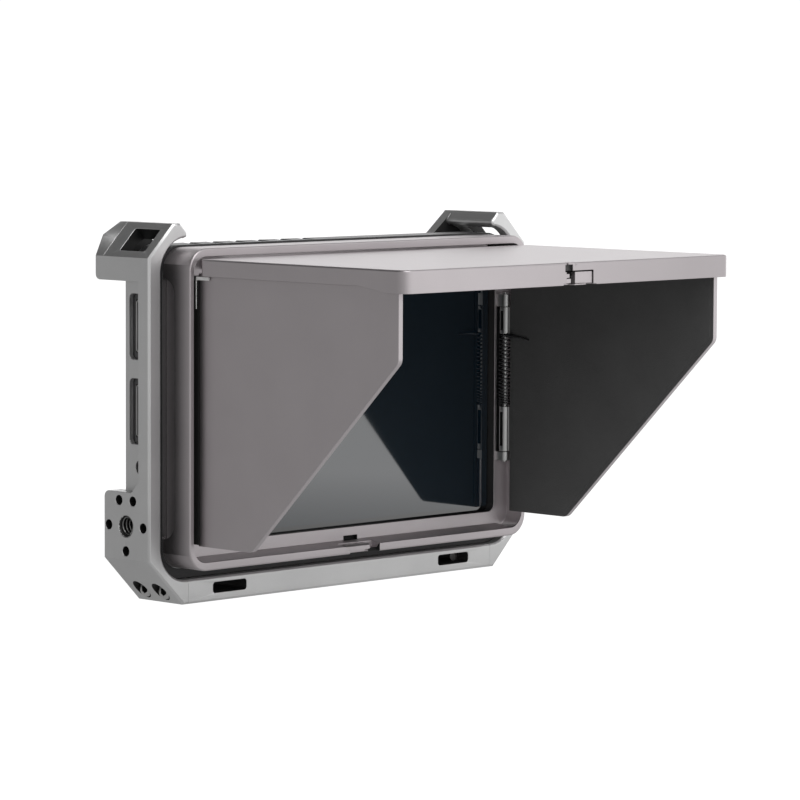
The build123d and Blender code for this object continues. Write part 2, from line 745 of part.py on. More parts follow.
with BuildPart() as fan_rotor:
    hub_front = fan_front + 0.5
    hub_back = y_wall - hub_floor - 0.4
    blade_y = (hub_front + hub_back) / 2
    for blade in range(fan_blades):
        angle = math.radians(blade * 360 / fan_blades)
        out = Vector(math.cos(angle), 0, math.sin(angle))
        tilted = Vector(-math.sin(angle), 0, math.cos(angle)) * 0.57 + Vector(0, 1, 0) * 0.82
        with BuildPart(Plane(origin=(fan_x, blade_y, fan_z), x_dir=out, z_dir=tilted),
                       mode=Mode.PRIVATE) as vane:
            with Locations((fan_hub - 0.6, 0, 0)):
                Box(fan_bore - fan_hub, 5.0, 0.8, align=(Align.MIN, Align.CENTER, Align.CENTER))
        add(vane.part)
    with BuildPart(Plane(origin=(fan_x, hub_front + 0.1, fan_z), z_dir=(0, 1, 0)),
                   mode=Mode.INTERSECT):
        Cylinder(fan_bore - 0.5, hub_back - hub_front - 0.2,
                 align=(Align.CENTER, Align.CENTER, Align.MIN))
    rod((fan_x, hub_front, fan_z), (0, 1, 0), fan_hub, hub_back - hub_front)
    rod((fan_x, hub_front + 1.2, fan_z), (0, 1, 0), fan_hub - 1.0, hub_back - hub_front, Mode.SUBTRACT)
    rod((fan_x, hub_front + 0.6, fan_z), (0, 1, 0), fan_shaft, y_wall - hub_front - 0.9)
save(fan_rotor.part, "fan_rotor")

# ---------------------------------------------------------------- rear shell
fin_height = 1.0
fin_count = 10
fin_margin = 26.8
fin_top_margin = 13.7
fin_first_z = monitor_bottom + fin_margin
fin_pitch_z = (monitor_height - fin_margin - fin_top_margin) / (fin_count - 1)
fin_width = 3.3
vent_pitch = 8.9
vent_count = 6
vent_inset = 20.5
vent_first_x = vent_inset - monitor_width / 2
vent_length = 9.6
vent_width = 2.8
vent_slant = 24.0
y_slope = y_side_end - fin_height * math.sqrt(2)
slope_run = y_back - y_slope
slope_shift = slope_run * math.tan(math.radians(back_slope))
inner_shift = (slope_run - shell_wall) * math.tan(math.radians(back_slope)) + shell_wall * 0.9


def tapered(width, height, corner, shift, y_start, y_end, small_corner, mode=Mode.ADD):
    """Loft from a full rounded outline to one that is smaller all round."""
    sections = []
    for y, inset, radius in ((y_start, 0, corner), (y_end, shift, small_corner)):
        with BuildSketch(front_plane(y)) as section:
            with Locations((0, monitor_mid_z)):
                RectangleRounded(width - 2 * inset, height - 2 * inset, radius)
        sections.append(section.sketch.face())
    loft(sections, ruled=True, mode=mode)


with BuildPart() as rear_shell:
    plate(monitor_width, monitor_height, monitor_corner, 0, monitor_mid_z, y_split, y_slope - y_split)
    tapered(monitor_width, monitor_height, monitor_corner, slope_shift, y_slope, y_back, 3.0)
    plate(monitor_width - 2 * shell_wall, monitor_height - 2 * shell_wall, monitor_corner - shell_wall,
          0, monitor_mid_z, y_split, y_slope - y_split, Mode.SUBTRACT)
    tapered(monitor_width - 2 * shell_wall, monitor_height - 2 * shell_wall, monitor_corner - shell_wall,
            inner_shift, y_slope, y_wall, 2.0, Mode.SUBTRACT)
    # Cooling fins down both sloping sides
    for side in (-1, 1):
        for fin in range(fin_count):
            with BuildSketch(Plane.XY.offset(fin_first_z + fin * fin_pitch_z)) as fin_outline:
                with BuildLine():
                    Polyline((side * monitor_width / 2, y_slope), (side * monitor_width / 2, y_side_end),
                             (side * (monitor_width / 2 - slope_shift + y_side_end - y_slope), y_back),
                             (side * (monitor_width / 2 - slope_shift - 0.5), y_back),
                             (side * (monitor_width / 2 - 0.5), y_slope), close=True)
                make_face()
            extrude(fin_outline.sketch, amount=fin_width / 2, both=True)
    # Slanted air slots in the top, over the left half
    for vent in range(vent_count):
        with BuildSketch(Plane.XY.offset(monitor_top)) as air_slot:
            with Locations((vent_first_x + vent * vent_pitch, (y_split + y_side_end) / 2)):
                SlotOverall(vent_length, vent_width, rotation=90 - vent_slant)
        extrude(air_slot.sketch, amount=-shell_wall, mode=Mode.SUBTRACT)
    # Deep screw wells that clamp the board to the mid frame
    for x, z in post_places:
        rod((x, y_board_back, z), (0, 1, 0), post_radius, y_wall - y_board_back + 0.2)
        rod((x, y_board_back, z), (0, 1, 0), screw_radius + 0.15, y_back, Mode.SUBTRACT)
        rod((x, y_back, z), (0, -1, 0), screw_head_radius + 0.25, well_depth, Mode.SUBTRACT)
    # Bosses in the floor for the screws that tie the monitor to the cage
    for tie_x in (-tie_screw_x, tie_screw_x):
        block((tie_x - 3, tie_x + 3), (tie_screw_y - 2.8, tie_screw_y + 2.8),
              (monitor_bottom + shell_wall * 0.9, monitor_bottom + 6.4))
        rod((tie_x, tie_screw_y, monitor_bottom), (0, 0, 1), screw_radius + 0.02, 5.6, Mode.SUBTRACT)
    # Air outlet behind the fan
    for row in range(-3, 4):
        row_length = 2 * math.sqrt(fan_bore ** 2 - (row * 3.7) ** 2) - 2
        with BuildSketch(front_plane(y_wall)) as outlet:
            with Locations((fan_x, fan_z + row * 3.7)):
                SlotOverall(row_length, 2.0)
        extrude(outlet.sketch, amount=-shell_wall, mode=Mode.SUBTRACT)
    # Openings for the sockets and the button
    for port_z in (upper_port_z, lower_port_z):
        block((-monitor_width, -inner_half + 1),
              (port_center_y - video_port_width / 2 - 0.1, port_center_y + video_port_width / 2 + 0.1),
              (port_z - video_port_length / 2 - 0.1, port_z + video_port_length / 2 + 0.1), Mode.SUBTRACT)
    rod((-monitor_width / 2 - 1, headphone_y, jack_z), (1, 0, 0), jack_radius + 0.1, shell_wall + 2,
        Mode.SUBTRACT)
    rod((monitor_width / 2 + 1, dc_jack_y, jack_z), (-1, 0, 0), dc_jack_radius + 0.1, shell_wall + 2,
        Mode.SUBTRACT)
    rod((monitor_width / 2 + 1, button_mid_y, button_z), (-1, 0, 0), button_radius + button_clear,
        shell_wall + 2, Mode.SUBTRACT)
    with BuildSketch(Plane.YZ.offset(inner_half - 1)) as service_hole:
        with Locations((port_center_y, lower_port_z)):
            SlotOverall(service_port_length + 0.2, service_port_width + 0.2, rotation=90)
    extrude(service_hole.sketch, amount=shell_wall + 2, mode=Mode.SUBTRACT)
    # Threaded pads for the battery plate
    plate_screws = [(battery_x + side * (battery_length / 2 - battery_screw_x),
                     battery_z + end * (battery_height / 2 - battery_screw_z))
                    for side in (-1, 1) for end in (-1, 1)]
    for x, z in plate_screws:
        rod((x, y_wall - 3.0, z), (0, 1, 0), 2.6, 3.0)
        rod((x, y_back, z), (0, -1, 0), screw_radius + 0.02, 4.4, Mode.SUBTRACT)
save(rear_shell.part, "rear_shell")

with BuildPart() as rear_screws:
    for x, z in post_places:
        socket_screw((x, y_back - well_depth, z), (0, 1, 0), y_back - well_depth - y_mid_back)
save(rear_screws.part, "rear_screws")

# ---------------------------------------------------------------- battery plate
plate_y = y_back + battery_base
release_x = battery_end - release_inset
release_low = battery_z - battery_height / 2
release_flange = 1.4
flange_lift = 1.5
flange_depth = 1.5
contact_span = (battery_z - contact_height / 2, battery_z + contact_height / 2)
rail_start = battery_x - battery_length / 2 + 2
rail_end = release_x - release_width / 2 - 1
with BuildPart() as battery_plate:
    plate(battery_length, battery_height, 2.0, battery_x, battery_z, y_back, battery_base)
    # Two hooked rails that the battery slides under
    for edge in (-1, 1):
        rail_z = battery_z + edge * battery_height / 2
        prism(Plane.YZ.offset(rail_start),
              ((plate_y - 0.2, rail_z - edge * 0.3), (plate_y + battery_rail, rail_z - edge * 0.3),
               (plate_y + battery_rail, rail_z - edge * 3.2),
               (plate_y + battery_rail - 1, rail_z - edge * 3.2),
               (plate_y + battery_rail - 1, rail_z - edge * 1.9), (plate_y - 0.2, rail_z - edge * 1.9)),
              rail_end - rail_start)
    # End stop that holds the contact block
    block((battery_end - contact_step, battery_end - stop_back), (plate_y - 0.2, plate_y + battery_rail),
          (battery_z - stop_height / 2, battery_z + stop_height / 2))
    block((battery_end - contact_reach, battery_end - contact_back),
          (plate_y - 0.4, plate_y + battery_rail + 1), contact_span, Mode.SUBTRACT)
    # Guide for the release slider, wide behind and narrow in front
    block((release_x - release_width / 2 - release_clear, release_x + release_width / 2 + release_clear),
          (y_back - 1, plate_y + 1),
          (release_low - 1, release_low + release_height + release_travel + 4.5), Mode.SUBTRACT)
    block((release_x - release_width / 2 - release_flange - release_clear,
           release_x + release_width / 2 + release_flange + release_clear),
          (y_back - 1, y_back + flange_depth),
          (release_low + flange_lift, release_low + release_height + release_travel + 8), Mode.SUBTRACT)
    for x, z in plate_screws:
        rod((x, y_back - 1, z), (0, 1, 0), screw_radius + 0.15, battery_base + 2, Mode.SUBTRACT)
        rod((x, plate_y, z), (0, -1, 0), screw_head_radius + 0.2, 1.6, Mode.SUBTRACT)
save(battery_plate.part, "battery_plate")

with BuildPart() as battery_plate_screws:
    for x, z in plate_screws:
        rod((x, plate_y - 1.6, z), (0, -1, 0), screw_radius, 4.8)
        rod((x, plate_y - 1.6, z), (0, 1, 0), screw_head_radius, 1.4)
        with BuildSketch(front_plane(plate_y - 0.2)) as cross_recess:
            with Locations((x, z)):
                Rectangle(2.4, 0.6)
                Rectangle(0.6, 2.4)
        extrude(cross_recess.sketch, amount=0.9, mode=Mode.SUBTRACT)
save(battery_plate_screws.part, "battery_plate_screws")

with BuildPart() as battery_contacts:
    block((battery_end - contact_reach, battery_end - contact_step), (plate_y - 0.4, plate_y + 1.2),
          contact_span)
    block((battery_end - contact_step, battery_end - contact_back),
          (plate_y - 0.4, plate_y + battery_rail + 1), contact_span)
    finger_tip = battery_end - contact_reach - contact_finger
    for contact in (-1, 0, 1):
        contact_z = battery_z + contact * contact_pitch
        finger_span = (contact_z - contact_finger_width / 2, contact_z + contact_finger_width / 2)
        block((finger_tip, battery_end - contact_reach), (plate_y + 0.5, plate_y + 1.1), finger_span)
        block((finger_tip, finger_tip + 0.6), (plate_y, plate_y + 0.6), finger_span)
save(battery_contacts.part, "battery_contacts")

slider_low = release_low + 0.3
slider_top = slider_low + release_height + 4
with BuildPart() as battery_release:
    block((release_x - release_width / 2, release_x + release_width / 2),
          (y_back + 0.15, plate_y + 0.6), (slider_low, slider_top))
    block((release_x - release_width / 2 - release_flange, release_x + release_width / 2 + release_flange),
          (y_back + 0.15, y_back + flange_depth - 0.15), (release_low + flange_lift + 0.1, slider_top))
    # Thumb pad below and battery tooth above
    block((release_x - release_width / 2, release_x + release_width / 2),
          (plate_y, plate_y + battery_rail + 1.2), (slider_low, slider_low + 2.4))
    fillet(edges().filter_by(Axis.X).group_by(Axis.Y)[-1], 0.8)
    prism(Plane.YZ.offset(release_x - 2),
          ((plate_y, slider_top - 3.5), (plate_y + battery_rail, slider_top - 3.5),
           (plate_y + battery_rail, slider_top - 2.5), (plate_y + 0.4, slider_top), (plate_y, slider_top)), 4)
save(battery_release.part, "battery_release")

release_spring_top = release_low + release_height + release_travel + 8
with BuildPart() as release_spring:
    for offset in (-4.5, 4.5):
        with BuildSketch(Plane.XZ.offset(-(y_back + flange_depth / 2))) as coil_profile:
            with BuildLine():
                Polyline(*[(release_x + offset + (0.6 if step % 2 else 0.35),
                            slider_top + 0.1 + (release_spring_top - slider_top - 0.2) * step / 12)
                           for step in range(13)],
                         (release_x + offset, release_spring_top - 0.1),
                         (release_x + offset, slider_top + 0.1), close=True)
            make_face()
        revolve(coil_profile.sketch, axis=Axis((release_x + offset, y_back + flange_depth / 2, 0),
                                               (0, 0, 1)))
save(release_spring.part, "release_spring")

# ---------------------------------------------------------------- hood frame
right_axis_y = y_cage - right_axis_reach
left_axis_y = y_cage - left_axis_reach
lid_axis_y = y_cage - lid_axis_reach
keeper_low = hood_bottom + 1.0
keeper_high = hood_bottom + hood_top_wall + 0.3
keeper_x = -2.5
magnet_places = [(x, z) for x in (magnet_inset - hood_width / 2, hood_width / 2 - magnet_inset)
                 for z in (hood_bottom + magnet_rise, hood_top - magnet_rise)]
gasket_width = 0.9
gasket_margin = 1.2
gasket_depth = 1.0
lip_floor = hood_bottom + hood_top_wall
lip_climb = 1.0

with BuildPart() as hood_frame:
    plate(hood_width, hood_height, hood_corner, 0, hood_mid_z, y_hood_front, y_monitor - y_hood_front)
    chamfer(faces().sort_by(Axis.Y)[0].edges(), 0.3)
    plate(hood_width - 2 * hood_side_wall, hood_height - 2 * hood_top_wall, hood_corner
          - hood_side_wall, 0, hood_mid_z, y_hood_front, hood_reach - hood_face, Mode.SUBTRACT)
    plate(window_width, window_height, window_corner, 0, window_mid_z, y_hood_face,
          y_monitor - y_hood_face, Mode.SUBTRACT)
    # The lower lip's inner face climbs towards the screen
    prism(Plane.YZ, ((y_hood_front + 0.4, lip_floor - 0.2), (y_hood_face + 0.2, lip_floor - 0.2),
                     (y_hood_face + 0.2, lip_floor + lip_climb), (y_hood_front + 0.4, lip_floor)),
          hood_width / 2 - hood_corner, both=True)
    # Finger recesses behind the rim on both sides
    for side in (-1, 1):
        with BuildSketch(Plane.YZ.offset(side * hood_width / 2)) as grip:
            with BuildLine():
                Polyline((y_monitor + 1, hood_mid_z - grip_recess_height / 2),
                         (y_monitor + 1, hood_mid_z + grip_recess_height / 2),
                         (y_hood_face + 0.4, hood_mid_z + grip_recess_height / 2),
                         (y_hood_face + 0.4, hood_mid_z - grip_recess_height / 2), close=True)
            make_face()
            fillet(vertices().group_by(Axis.X)[0], 4.6)
        extrude(grip.sketch, amount=-side * grip_recess_depth, mode=Mode.SUBTRACT)
    # Grooves in the back for the gasket and the holding magnets
    plate(window_width + gasket_margin + 2 * gasket_width, window_height + gasket_margin
          + 2 * gasket_width, window_corner + gasket_width, 0, window_mid_z, y_monitor - gasket_depth,
          gasket_depth, Mode.SUBTRACT)
    with BuildPart(mode=Mode.PRIVATE) as groove_core:
        plate(window_width + gasket_margin, window_height + gasket_margin, window_corner, 0,
              window_mid_z, y_monitor - gasket_depth, gasket_depth)
        plate(window_width, window_height, window_corner, 0, window_mid_z, y_monitor - gasket_depth,
              gasket_depth, Mode.SUBTRACT)
    add(groove_core.part)
    for x, z in magnet_places:
        rod((x, y_monitor, z), (0, -1, 0), magnet_radius + 0.05, magnet_thickness + 0.05, Mode.SUBTRACT)
    # Carriers for the panel hinges: webs from the face, ending in knuckles
    for side, axis_y in ((-1, left_axis_y), (1, right_axis_y)):
        for low, height in ((hinge_bottom, frame_knuckle_low), (hinge_top - frame_knuckle_high,
                                                                 frame_knuckle_high)):
            block((side * hinge_x - knuckle_radius, side * hinge_x + knuckle_radius),
                  (axis_y, y_hood_face + 0.5), (low, low + height))
            rod((side * hinge_x, axis_y, low), (0, 0, 1), knuckle_radius, height)
            rod((side * hinge_x, axis_y, low), (0, 0, 1), pin_radius + pin_fit, height, Mode.SUBTRACT)
    # Ears for the lid hinge
    for side in (-1, 1):
        ear = side * lid_ear_x
        block((ear, ear + side * lid_ear_length), (lid_axis_y, y_hood_face + 0.5),
              (lid_axis_z - lid_knuckle_radius, lid_axis_z + lid_knuckle_radius))
        rod((ear, lid_axis_y, lid_axis_z), (side, 0, 0), lid_knuckle_radius, lid_ear_length)
        rod((ear, lid_axis_y, lid_axis_z), (side, 0, 0), pin_radius + pin_fit, lid_ear_length,
            Mode.SUBTRACT)
    # Seat for the keeper in the lower lip, a finger scallop below and the catch slot behind
    block((keeper_x - keeper_length / 2, keeper_x + keeper_length / 2 + keeper_slot),
          (y_hood_front - 1, y_hood_front + 3.6), (keeper_low, keeper_high + 2), Mode.SUBTRACT)
    block((keeper_x - keeper_length / 2 + 1.7, keeper_x + keeper_length / 2 + 0.7),
          (y_hood_front - 1, y_hood_front + 2.2), (hood_bottom - 1, keeper_low), Mode.SUBTRACT)
    block((-2.5, 3.1), (y_hood_face - 0.5, y_hood_face + 1.4), (13.3, 14.7), Mode.SUBTRACT)
save(hood_frame.part, "hood_frame")

with BuildPart() as latch_keeper:
    block((keeper_x - keeper_length / 2, keeper_x + keeper_length / 2),
          (y_hood_front + 0.1, y_hood_front + 3.6), (keeper_low, keeper_high))
    chamfer(edges().filter_by(Axis.X).group_by(Axis.Y)[0].sort_by(Axis.Z)[-1], 0.5)
    block((keeper_x - 2.6, keeper_x + 2.6), (y_hood_front + 1.2, y_hood_front + 2.6),
          (keeper_high - 0.9, keeper_high + 1), Mode.SUBTRACT)
save(latch_keeper.part, "latch_keeper")

with BuildPart() as hood_magnets:
    for x, z in magnet_places:
        rod((x, y_monitor, z), (0, -1, 0), magnet_radius, magnet_thickness)
save(hood_magnets.part, "hood_magnets")

with BuildPart() as hood_gasket:
    plate(window_width + gasket_margin + 2 * gasket_width - 0.1, window_height + gasket_margin
          + 2 * gasket_width - 0.1, window_corner + gasket_width, 0, window_mid_z,
          y_monitor - gasket_depth, gasket_depth)
    plate(window_width + gasket_margin + 0.1, window_height + gasket_margin + 0.1, window_corner, 0,
          window_mid_z, y_monitor - gasket_depth, gasket_depth, Mode.SUBTRACT)
save(hood_gasket.part, "hood_gasket")

# ---------------------------------------------------------------- hinge pins and coil springs
coil_low = hinge_bottom + frame_knuckle_low + lower_knuckle + knuckle_gap
coil_high = hinge_top - frame_knuckle_high - upper_knuckle - knuckle_gap


def panel_pin(side, axis_y):
    with BuildPart() as pin:
        rod((side * hinge_x, axis_y, hinge_bottom - 0.5), (0, 0, 1), pin_radius,
            hinge_top - hinge_bottom + 1)
        chamfer(edges().filter_by(GeomType.CIRCLE), 0.15)
    return pin.part


def panel_coil(side, axis_y):
    """Coil spring round the pin, drawn as a stack of turns."""
    outer = knuckle_radius
    step = (coil_high - coil_low) / (2 * coil_turns)
    with BuildPart() as coil:
        with BuildSketch(Plane.XZ.offset(-axis_y)) as turns:
            with BuildLine():
                Polyline(*[(side * hinge_x + outer - (0 if index % 2 else coil_wire / 2),
                            coil_low + step * index) for index in range(2 * coil_turns + 1)],
                         (side * hinge_x + outer - coil_wire, coil_high),
                         (side * hinge_x + outer - coil_wire, coil_low), close=True)
            make_face()
        revolve(turns.sketch, axis=Axis((side * hinge_x, axis_y, 0), (0, 0, 1)))
    return coil.part


save(panel_pin(-1, left_axis_y), "left_hinge_pin")
save(panel_pin(1, right_axis_y), "right_hinge_pin")
save(panel_coil(-1, left_axis_y), "left_panel_spring")
save(panel_coil(1, right_axis_y), "right_panel_spring")

with BuildPart() as lid_hinge_pins:
    for side in (-1, 1):
        rod((side * (lid_ear_x - lid_knuckle_length - lid_pin_overrun), lid_axis_y, lid_axis_z),
            (side, 0, 0), pin_radius, lid_ear_length + lid_knuckle_length + 2 * lid_pin_overrun)
save(lid_hinge_pins.part, "lid_hinge_pins")

# ---------------------------------------------------------------- side panels
y_panel_front = y_cage - panel_front


def panel_start(side):
    """Distance from the hinge axis to the rear edge of a panel."""
    return knuckle_radius + (left_panel_clear if side < 0 else right_panel_clear)


def panel_outline(side, axis_y, inset):
    """Side view of a panel, or of its lining when inset."""
    rear = axis_y - panel_start(side) - inset
    low = panel_bottom + inset
    return (
        (rear, panel_top - inset),
        (y_panel_front + inset, panel_top - inset),
        (y_panel_front + inset, panel_slope_z + inset * 0.6),
        (y_cage - panel_slope_y + inset * 0.6, low),
        (rear, low),
    )


def side_panel(side, axis_y):
    with BuildPart() as leaf:
        with BuildSketch(Plane.YZ.offset(side * (panel_x - panel_thickness / 2))) as shape:
            with BuildLine():
                Polyline(*panel_outline(side, axis_y, 0), close=True)
            make_face()
            fillet(vertices().sort_by(Axis.X)[:2].sort_by(Axis.Y)[0], panel_corner)
            fillet(vertices().group_by(Axis.Y)[0].sort_by(Axis.X)[0], panel_corner)
        extrude(shape.sketch, amount=side * panel_thickness)
        for low, high in ((hinge_bottom + frame_knuckle_low + knuckle_gap, coil_low - knuckle_gap),
                          (coil_high + knuckle_gap, hinge_top - frame_knuckle_high - knuckle_gap)):
            block((side * hinge_x, side * (panel_x + panel_thickness / 2)),
                  (axis_y - panel_start(side) - 0.5, axis_y), (low, high))
            rod((side * hinge_x, axis_y, low), (0, 0, 1), knuckle_radius, high - low)
            rod((side * hinge_x, axis_y, low), (0, 0, 1), pin_radius + pin_running_gap, high - low,
                Mode.SUBTRACT)
    return leaf.part


def panel_lining(side, axis_y):
    inner = side * (panel_x - panel_thickness / 2)
    with BuildPart() as lining:
        with BuildSketch(Plane.YZ.offset(inner)) as shape:
            with BuildLine():
                Polyline(*panel_outline(side, axis_y, lining_inset), close=True)
            make_face()
            fillet(vertices().sort_by(Axis.X)[:2].sort_by(Axis.Y)[0], panel_corner - lining_inset)
            fillet(vertices().group_by(Axis.Y)[0].sort_by(Axis.X)[0], panel_corner - lining_inset)
        extrude(shape.sketch, amount=-side * lining_thickness)
    return lining.part


def spring_arm(side, axis_y):
    """Straight end of the coil spring, which lies on the panel's inner face."""
    arm_x = side * (panel_x - panel_thickness / 2 - lining_thickness - coil_wire / 2)
    with BuildPart() as arm:
        rod((arm_x, axis_y - knuckle_radius - 0.1, coil_high - coil_wire), (0, -1, 0), coil_wire / 2,
            coil_arm_length)
    return arm.part


for side_name, side, axis_y in (("left", -1, left_axis_y), ("right", 1, right_axis_y)):
    save(side_panel(side, axis_y), f"{side_name}_panel")
    save(panel_lining(side, axis_y), f"{side_name}_panel_lining")
    save(spring_arm(side, axis_y), f"{side_name}_spring_arm")

# ---------------------------------------------------------------- lid
y_lid_rear = y_cage - lid_rear
y_lid_front = y_cage - lid_front
lid_inner = lid_half_width - lid_skirt_wall
lid_under = lid_top - lid_plate
skirt_bottom = lid_top - lid_skirt_height
front_bottom = lid_top - lid_front_height
front_wall = 1.6
pocket_low = front_bottom + 0.4
pocket_high = pocket_low + catch_pocket_height
pocket_floor = y_lid_front + catch_pocket_depth
boss_back = pocket_floor + boss_wall
boss_margin = 2.7
stem_x = catch_x - catch_pocket_length / 2 + 5.6
stem_length = 3.0
stem_low = pocket_low + 1.0
stem_high = pocket_high - 1.0
rest_y = (-93.0, -88.0)

with BuildPart() as hood_lid:
    with BuildSketch(Plane.XY.offset(front_bottom)) as lid_outline:
        with Locations((0, (y_lid_front + y_lid_rear) / 2)):
            Rectangle(2 * lid_half_width, y_lid_rear - y_lid_front)
        fillet(vertices().group_by(Axis.Y)[0], lid_corner)
        fillet(vertices().group_by(Axis.Y)[-1], lid_corner / 2)
    extrude(lid_outline.sketch, amount=lid_front_height)
    fillet(faces().sort_by(Axis.Z)[-1].edges(), edge_break)
    # Hollow underneath, open at the rear
    with BuildSketch(Plane.XY.offset(front_bottom)) as lid_hollow:
        with Locations((0, (y_lid_front + front_wall + y_lid_rear + 5) / 2)):
            Rectangle(2 * lid_inner, y_lid_rear + 5 - y_lid_front - front_wall)
        fillet(vertices().group_by(Axis.Y)[0], lid_corner - front_wall)
    extrude(lid_hollow.sketch, amount=lid_under - front_bottom, mode=Mode.SUBTRACT)
    # Skirts are lower at the front, with a ramp in between
    prism(Plane.YZ, ((y_cage - lid_ramp_start, skirt_bottom), (y_lid_rear + 1, skirt_bottom),
                     (y_lid_rear + 1, front_bottom - 1), (y_cage - lid_ramp_end, front_bottom - 1),
                     (y_cage - lid_ramp_end, front_bottom)), lid_half_width + 1, Mode.SUBTRACT, True)
    # Knuckles on short arms behind the lid
    for side in (-1, 1):
        outer_end = side * (lid_ear_x - knuckle_gap)
        inner_end = side * (lid_ear_x - knuckle_gap - lid_knuckle_length)
        block((inner_end, outer_end), (y_lid_rear - 2, lid_axis_y),
              (lid_axis_z - lid_knuckle_radius, lid_axis_z + lid_knuckle_radius))
        rod((inner_end, lid_axis_y, lid_axis_z), (side, 0, 0), lid_knuckle_radius, lid_knuckle_length)
        rod((inner_end, lid_axis_y, lid_axis_z), (side, 0, 0), pin_radius + pin_running_gap,
            lid_knuckle_length, Mode.SUBTRACT)
        # Ribs that rest on the panels' top edges
        block((side * (panel_x - panel_thickness / 2), side * lid_inner), rest_y,
              (panel_top + seat_gap, lid_under + 0.2))
    # Boss and pocket for the catch
    block((catch_x - catch_pocket_length / 2 - boss_margin, catch_x + catch_pocket_length / 2
           + boss_margin), (y_lid_front + front_wall - 0.2, boss_back), (front_bottom, lid_under + 0.2))
    block((catch_x - catch_pocket_length / 2, catch_x + catch_pocket_length / 2),
          (y_lid_front - 1, pocket_floor), (pocket_low, pocket_high), Mode.SUBTRACT)
    block((stem_x - stem_length / 2 - catch_clear,
           stem_x + stem_length / 2 + catch_travel + catch_clear),
          (pocket_floor - 0.5, boss_back + 1), (stem_low - catch_clear, stem_high + catch_clear),
          Mode.SUBTRACT)
    for low_x, high_x in ((-3.2, 0), (5.0, 9.0)):
        block((low_x, high_x), (y_lid_front - 1, pocket_floor), (front_bottom - 1, pocket_low + 0.1),
              Mode.SUBTRACT)
    block((-3.2, 0.6), (y_lid_front - 1, y_lid_front + 0.8), (lid_top - 1.0, lid_top + 1), Mode.SUBTRACT)
save(hood_lid.part, "hood_lid")

with BuildPart() as lid_lining:
    block((-panel_x + panel_thickness, panel_x - panel_thickness), (boss_back + 0.8, y_lid_rear - 2.3),
          (lid_under - lining_thickness, lid_under))
save(lid_lining.part, "lid_lining")

catch_start = catch_x - catch_pocket_length / 2 + catch_clear
with BuildPart() as lid_catch:
    block((catch_start, catch_start + catch_length), (y_lid_front + 0.4, pocket_floor - 0.1),
          (pocket_low + catch_clear, pocket_high - catch_clear))
    for groove in range(5):
        block((catch_start + 2.6 + groove * 1.3, catch_start + 3.2 + groove * 1.3),
              (y_lid_front, y_lid_front + 0.8), (pocket_low, pocket_high), Mode.SUBTRACT)
    block((stem_x - stem_length / 2, stem_x + stem_length / 2), (pocket_floor - 0.3, boss_back + 0.7),
          (stem_low, stem_high))
    block((stem_x - stem_length / 2 - 1.3, stem_x + stem_length / 2 + 1.3),
          (boss_back + 0.1, boss_back + 0.7), (stem_low - 0.6, stem_high + 0.6))
save(lid_catch.part, "lid_catch")
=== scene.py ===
import bmesh
import bpy
import math
from mathutils import Matrix, Vector


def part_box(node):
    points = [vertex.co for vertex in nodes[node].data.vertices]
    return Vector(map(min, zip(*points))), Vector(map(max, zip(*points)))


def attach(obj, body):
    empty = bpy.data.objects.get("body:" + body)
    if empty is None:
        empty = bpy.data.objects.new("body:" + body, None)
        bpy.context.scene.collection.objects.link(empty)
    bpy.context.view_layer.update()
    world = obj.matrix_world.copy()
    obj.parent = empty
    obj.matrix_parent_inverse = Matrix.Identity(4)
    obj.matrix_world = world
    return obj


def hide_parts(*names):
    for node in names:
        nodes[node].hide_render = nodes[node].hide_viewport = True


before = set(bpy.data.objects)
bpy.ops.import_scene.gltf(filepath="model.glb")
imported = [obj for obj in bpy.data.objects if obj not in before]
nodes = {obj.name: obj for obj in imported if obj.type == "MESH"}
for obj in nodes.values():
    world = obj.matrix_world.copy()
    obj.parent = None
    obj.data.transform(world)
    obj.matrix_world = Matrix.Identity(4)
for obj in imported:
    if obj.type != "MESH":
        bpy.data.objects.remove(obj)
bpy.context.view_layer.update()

# Viewpoint. A long lens stands low, to the left of the screen, and looks
# slightly down on the monitor.
MM = 0.001
turn, dip, roll = math.radians(45.487), math.radians(4.811), math.radians(0.246)
middle, shift_right, shift_up = Vector((0, -9.3, 53.5)), 15.902, 0.629
distance, focal_length, picture_width, film_width = 1192.424, 4108.4, 800, 36
ahead = Vector((math.sin(turn) * math.cos(dip), math.cos(turn) * math.cos(dip), -math.sin(dip)))
level_right = Vector((math.cos(turn), -math.sin(turn), 0))
level_up = level_right.cross(ahead)
right = math.cos(roll) * level_right + math.sin(roll) * level_up
up = -math.sin(roll) * level_right + math.cos(roll) * level_up
aim = middle + level_right * shift_right + level_up * shift_up
camera = bpy.data.objects.new("viewpoint", bpy.data.cameras.new("viewpoint"))
bpy.context.collection.objects.link(camera)
camera.matrix_world = Matrix((
    (right.x, up.x, -ahead.x, 0), (right.y, up.y, -ahead.y, 0), (right.z, up.z, -ahead.z, 0),
    (0, 0, 0, 1)))
camera.location = (aim - ahead * distance) * MM
camera.data.sensor_width = film_width
camera.data.lens = focal_length / picture_width * film_width
camera.data.clip_start, camera.data.clip_end = 0.05, 20
bpy.context.scene.camera = camera
bpy.context.scene.view_settings.view_transform = "Standard"


# Studio floor and air. A lit white floor in a white room whose light is stronger
# from the front right than from the left, under a dark ceiling.
def wired(tree, kind, settings, feeds):
    """Adds a node, sets its options, and feeds its inputs with numbers or other nodes' outputs."""
    made = tree.nodes.new(kind)
    for key, value in settings.items():
        setattr(made, key, value)
    for key, value in feeds.items():
        if isinstance(value, bpy.types.NodeSocket):
            tree.links.new(value, made.inputs[key])
        else:
            made.inputs[key].default_value = value
    return made


def worked(tree, operation, *values):
    """The result of one sum on numbers or other nodes' outputs."""
    return wired(tree, "ShaderNodeMath", {"operation": operation}, dict(enumerate(values))).outputs[0]


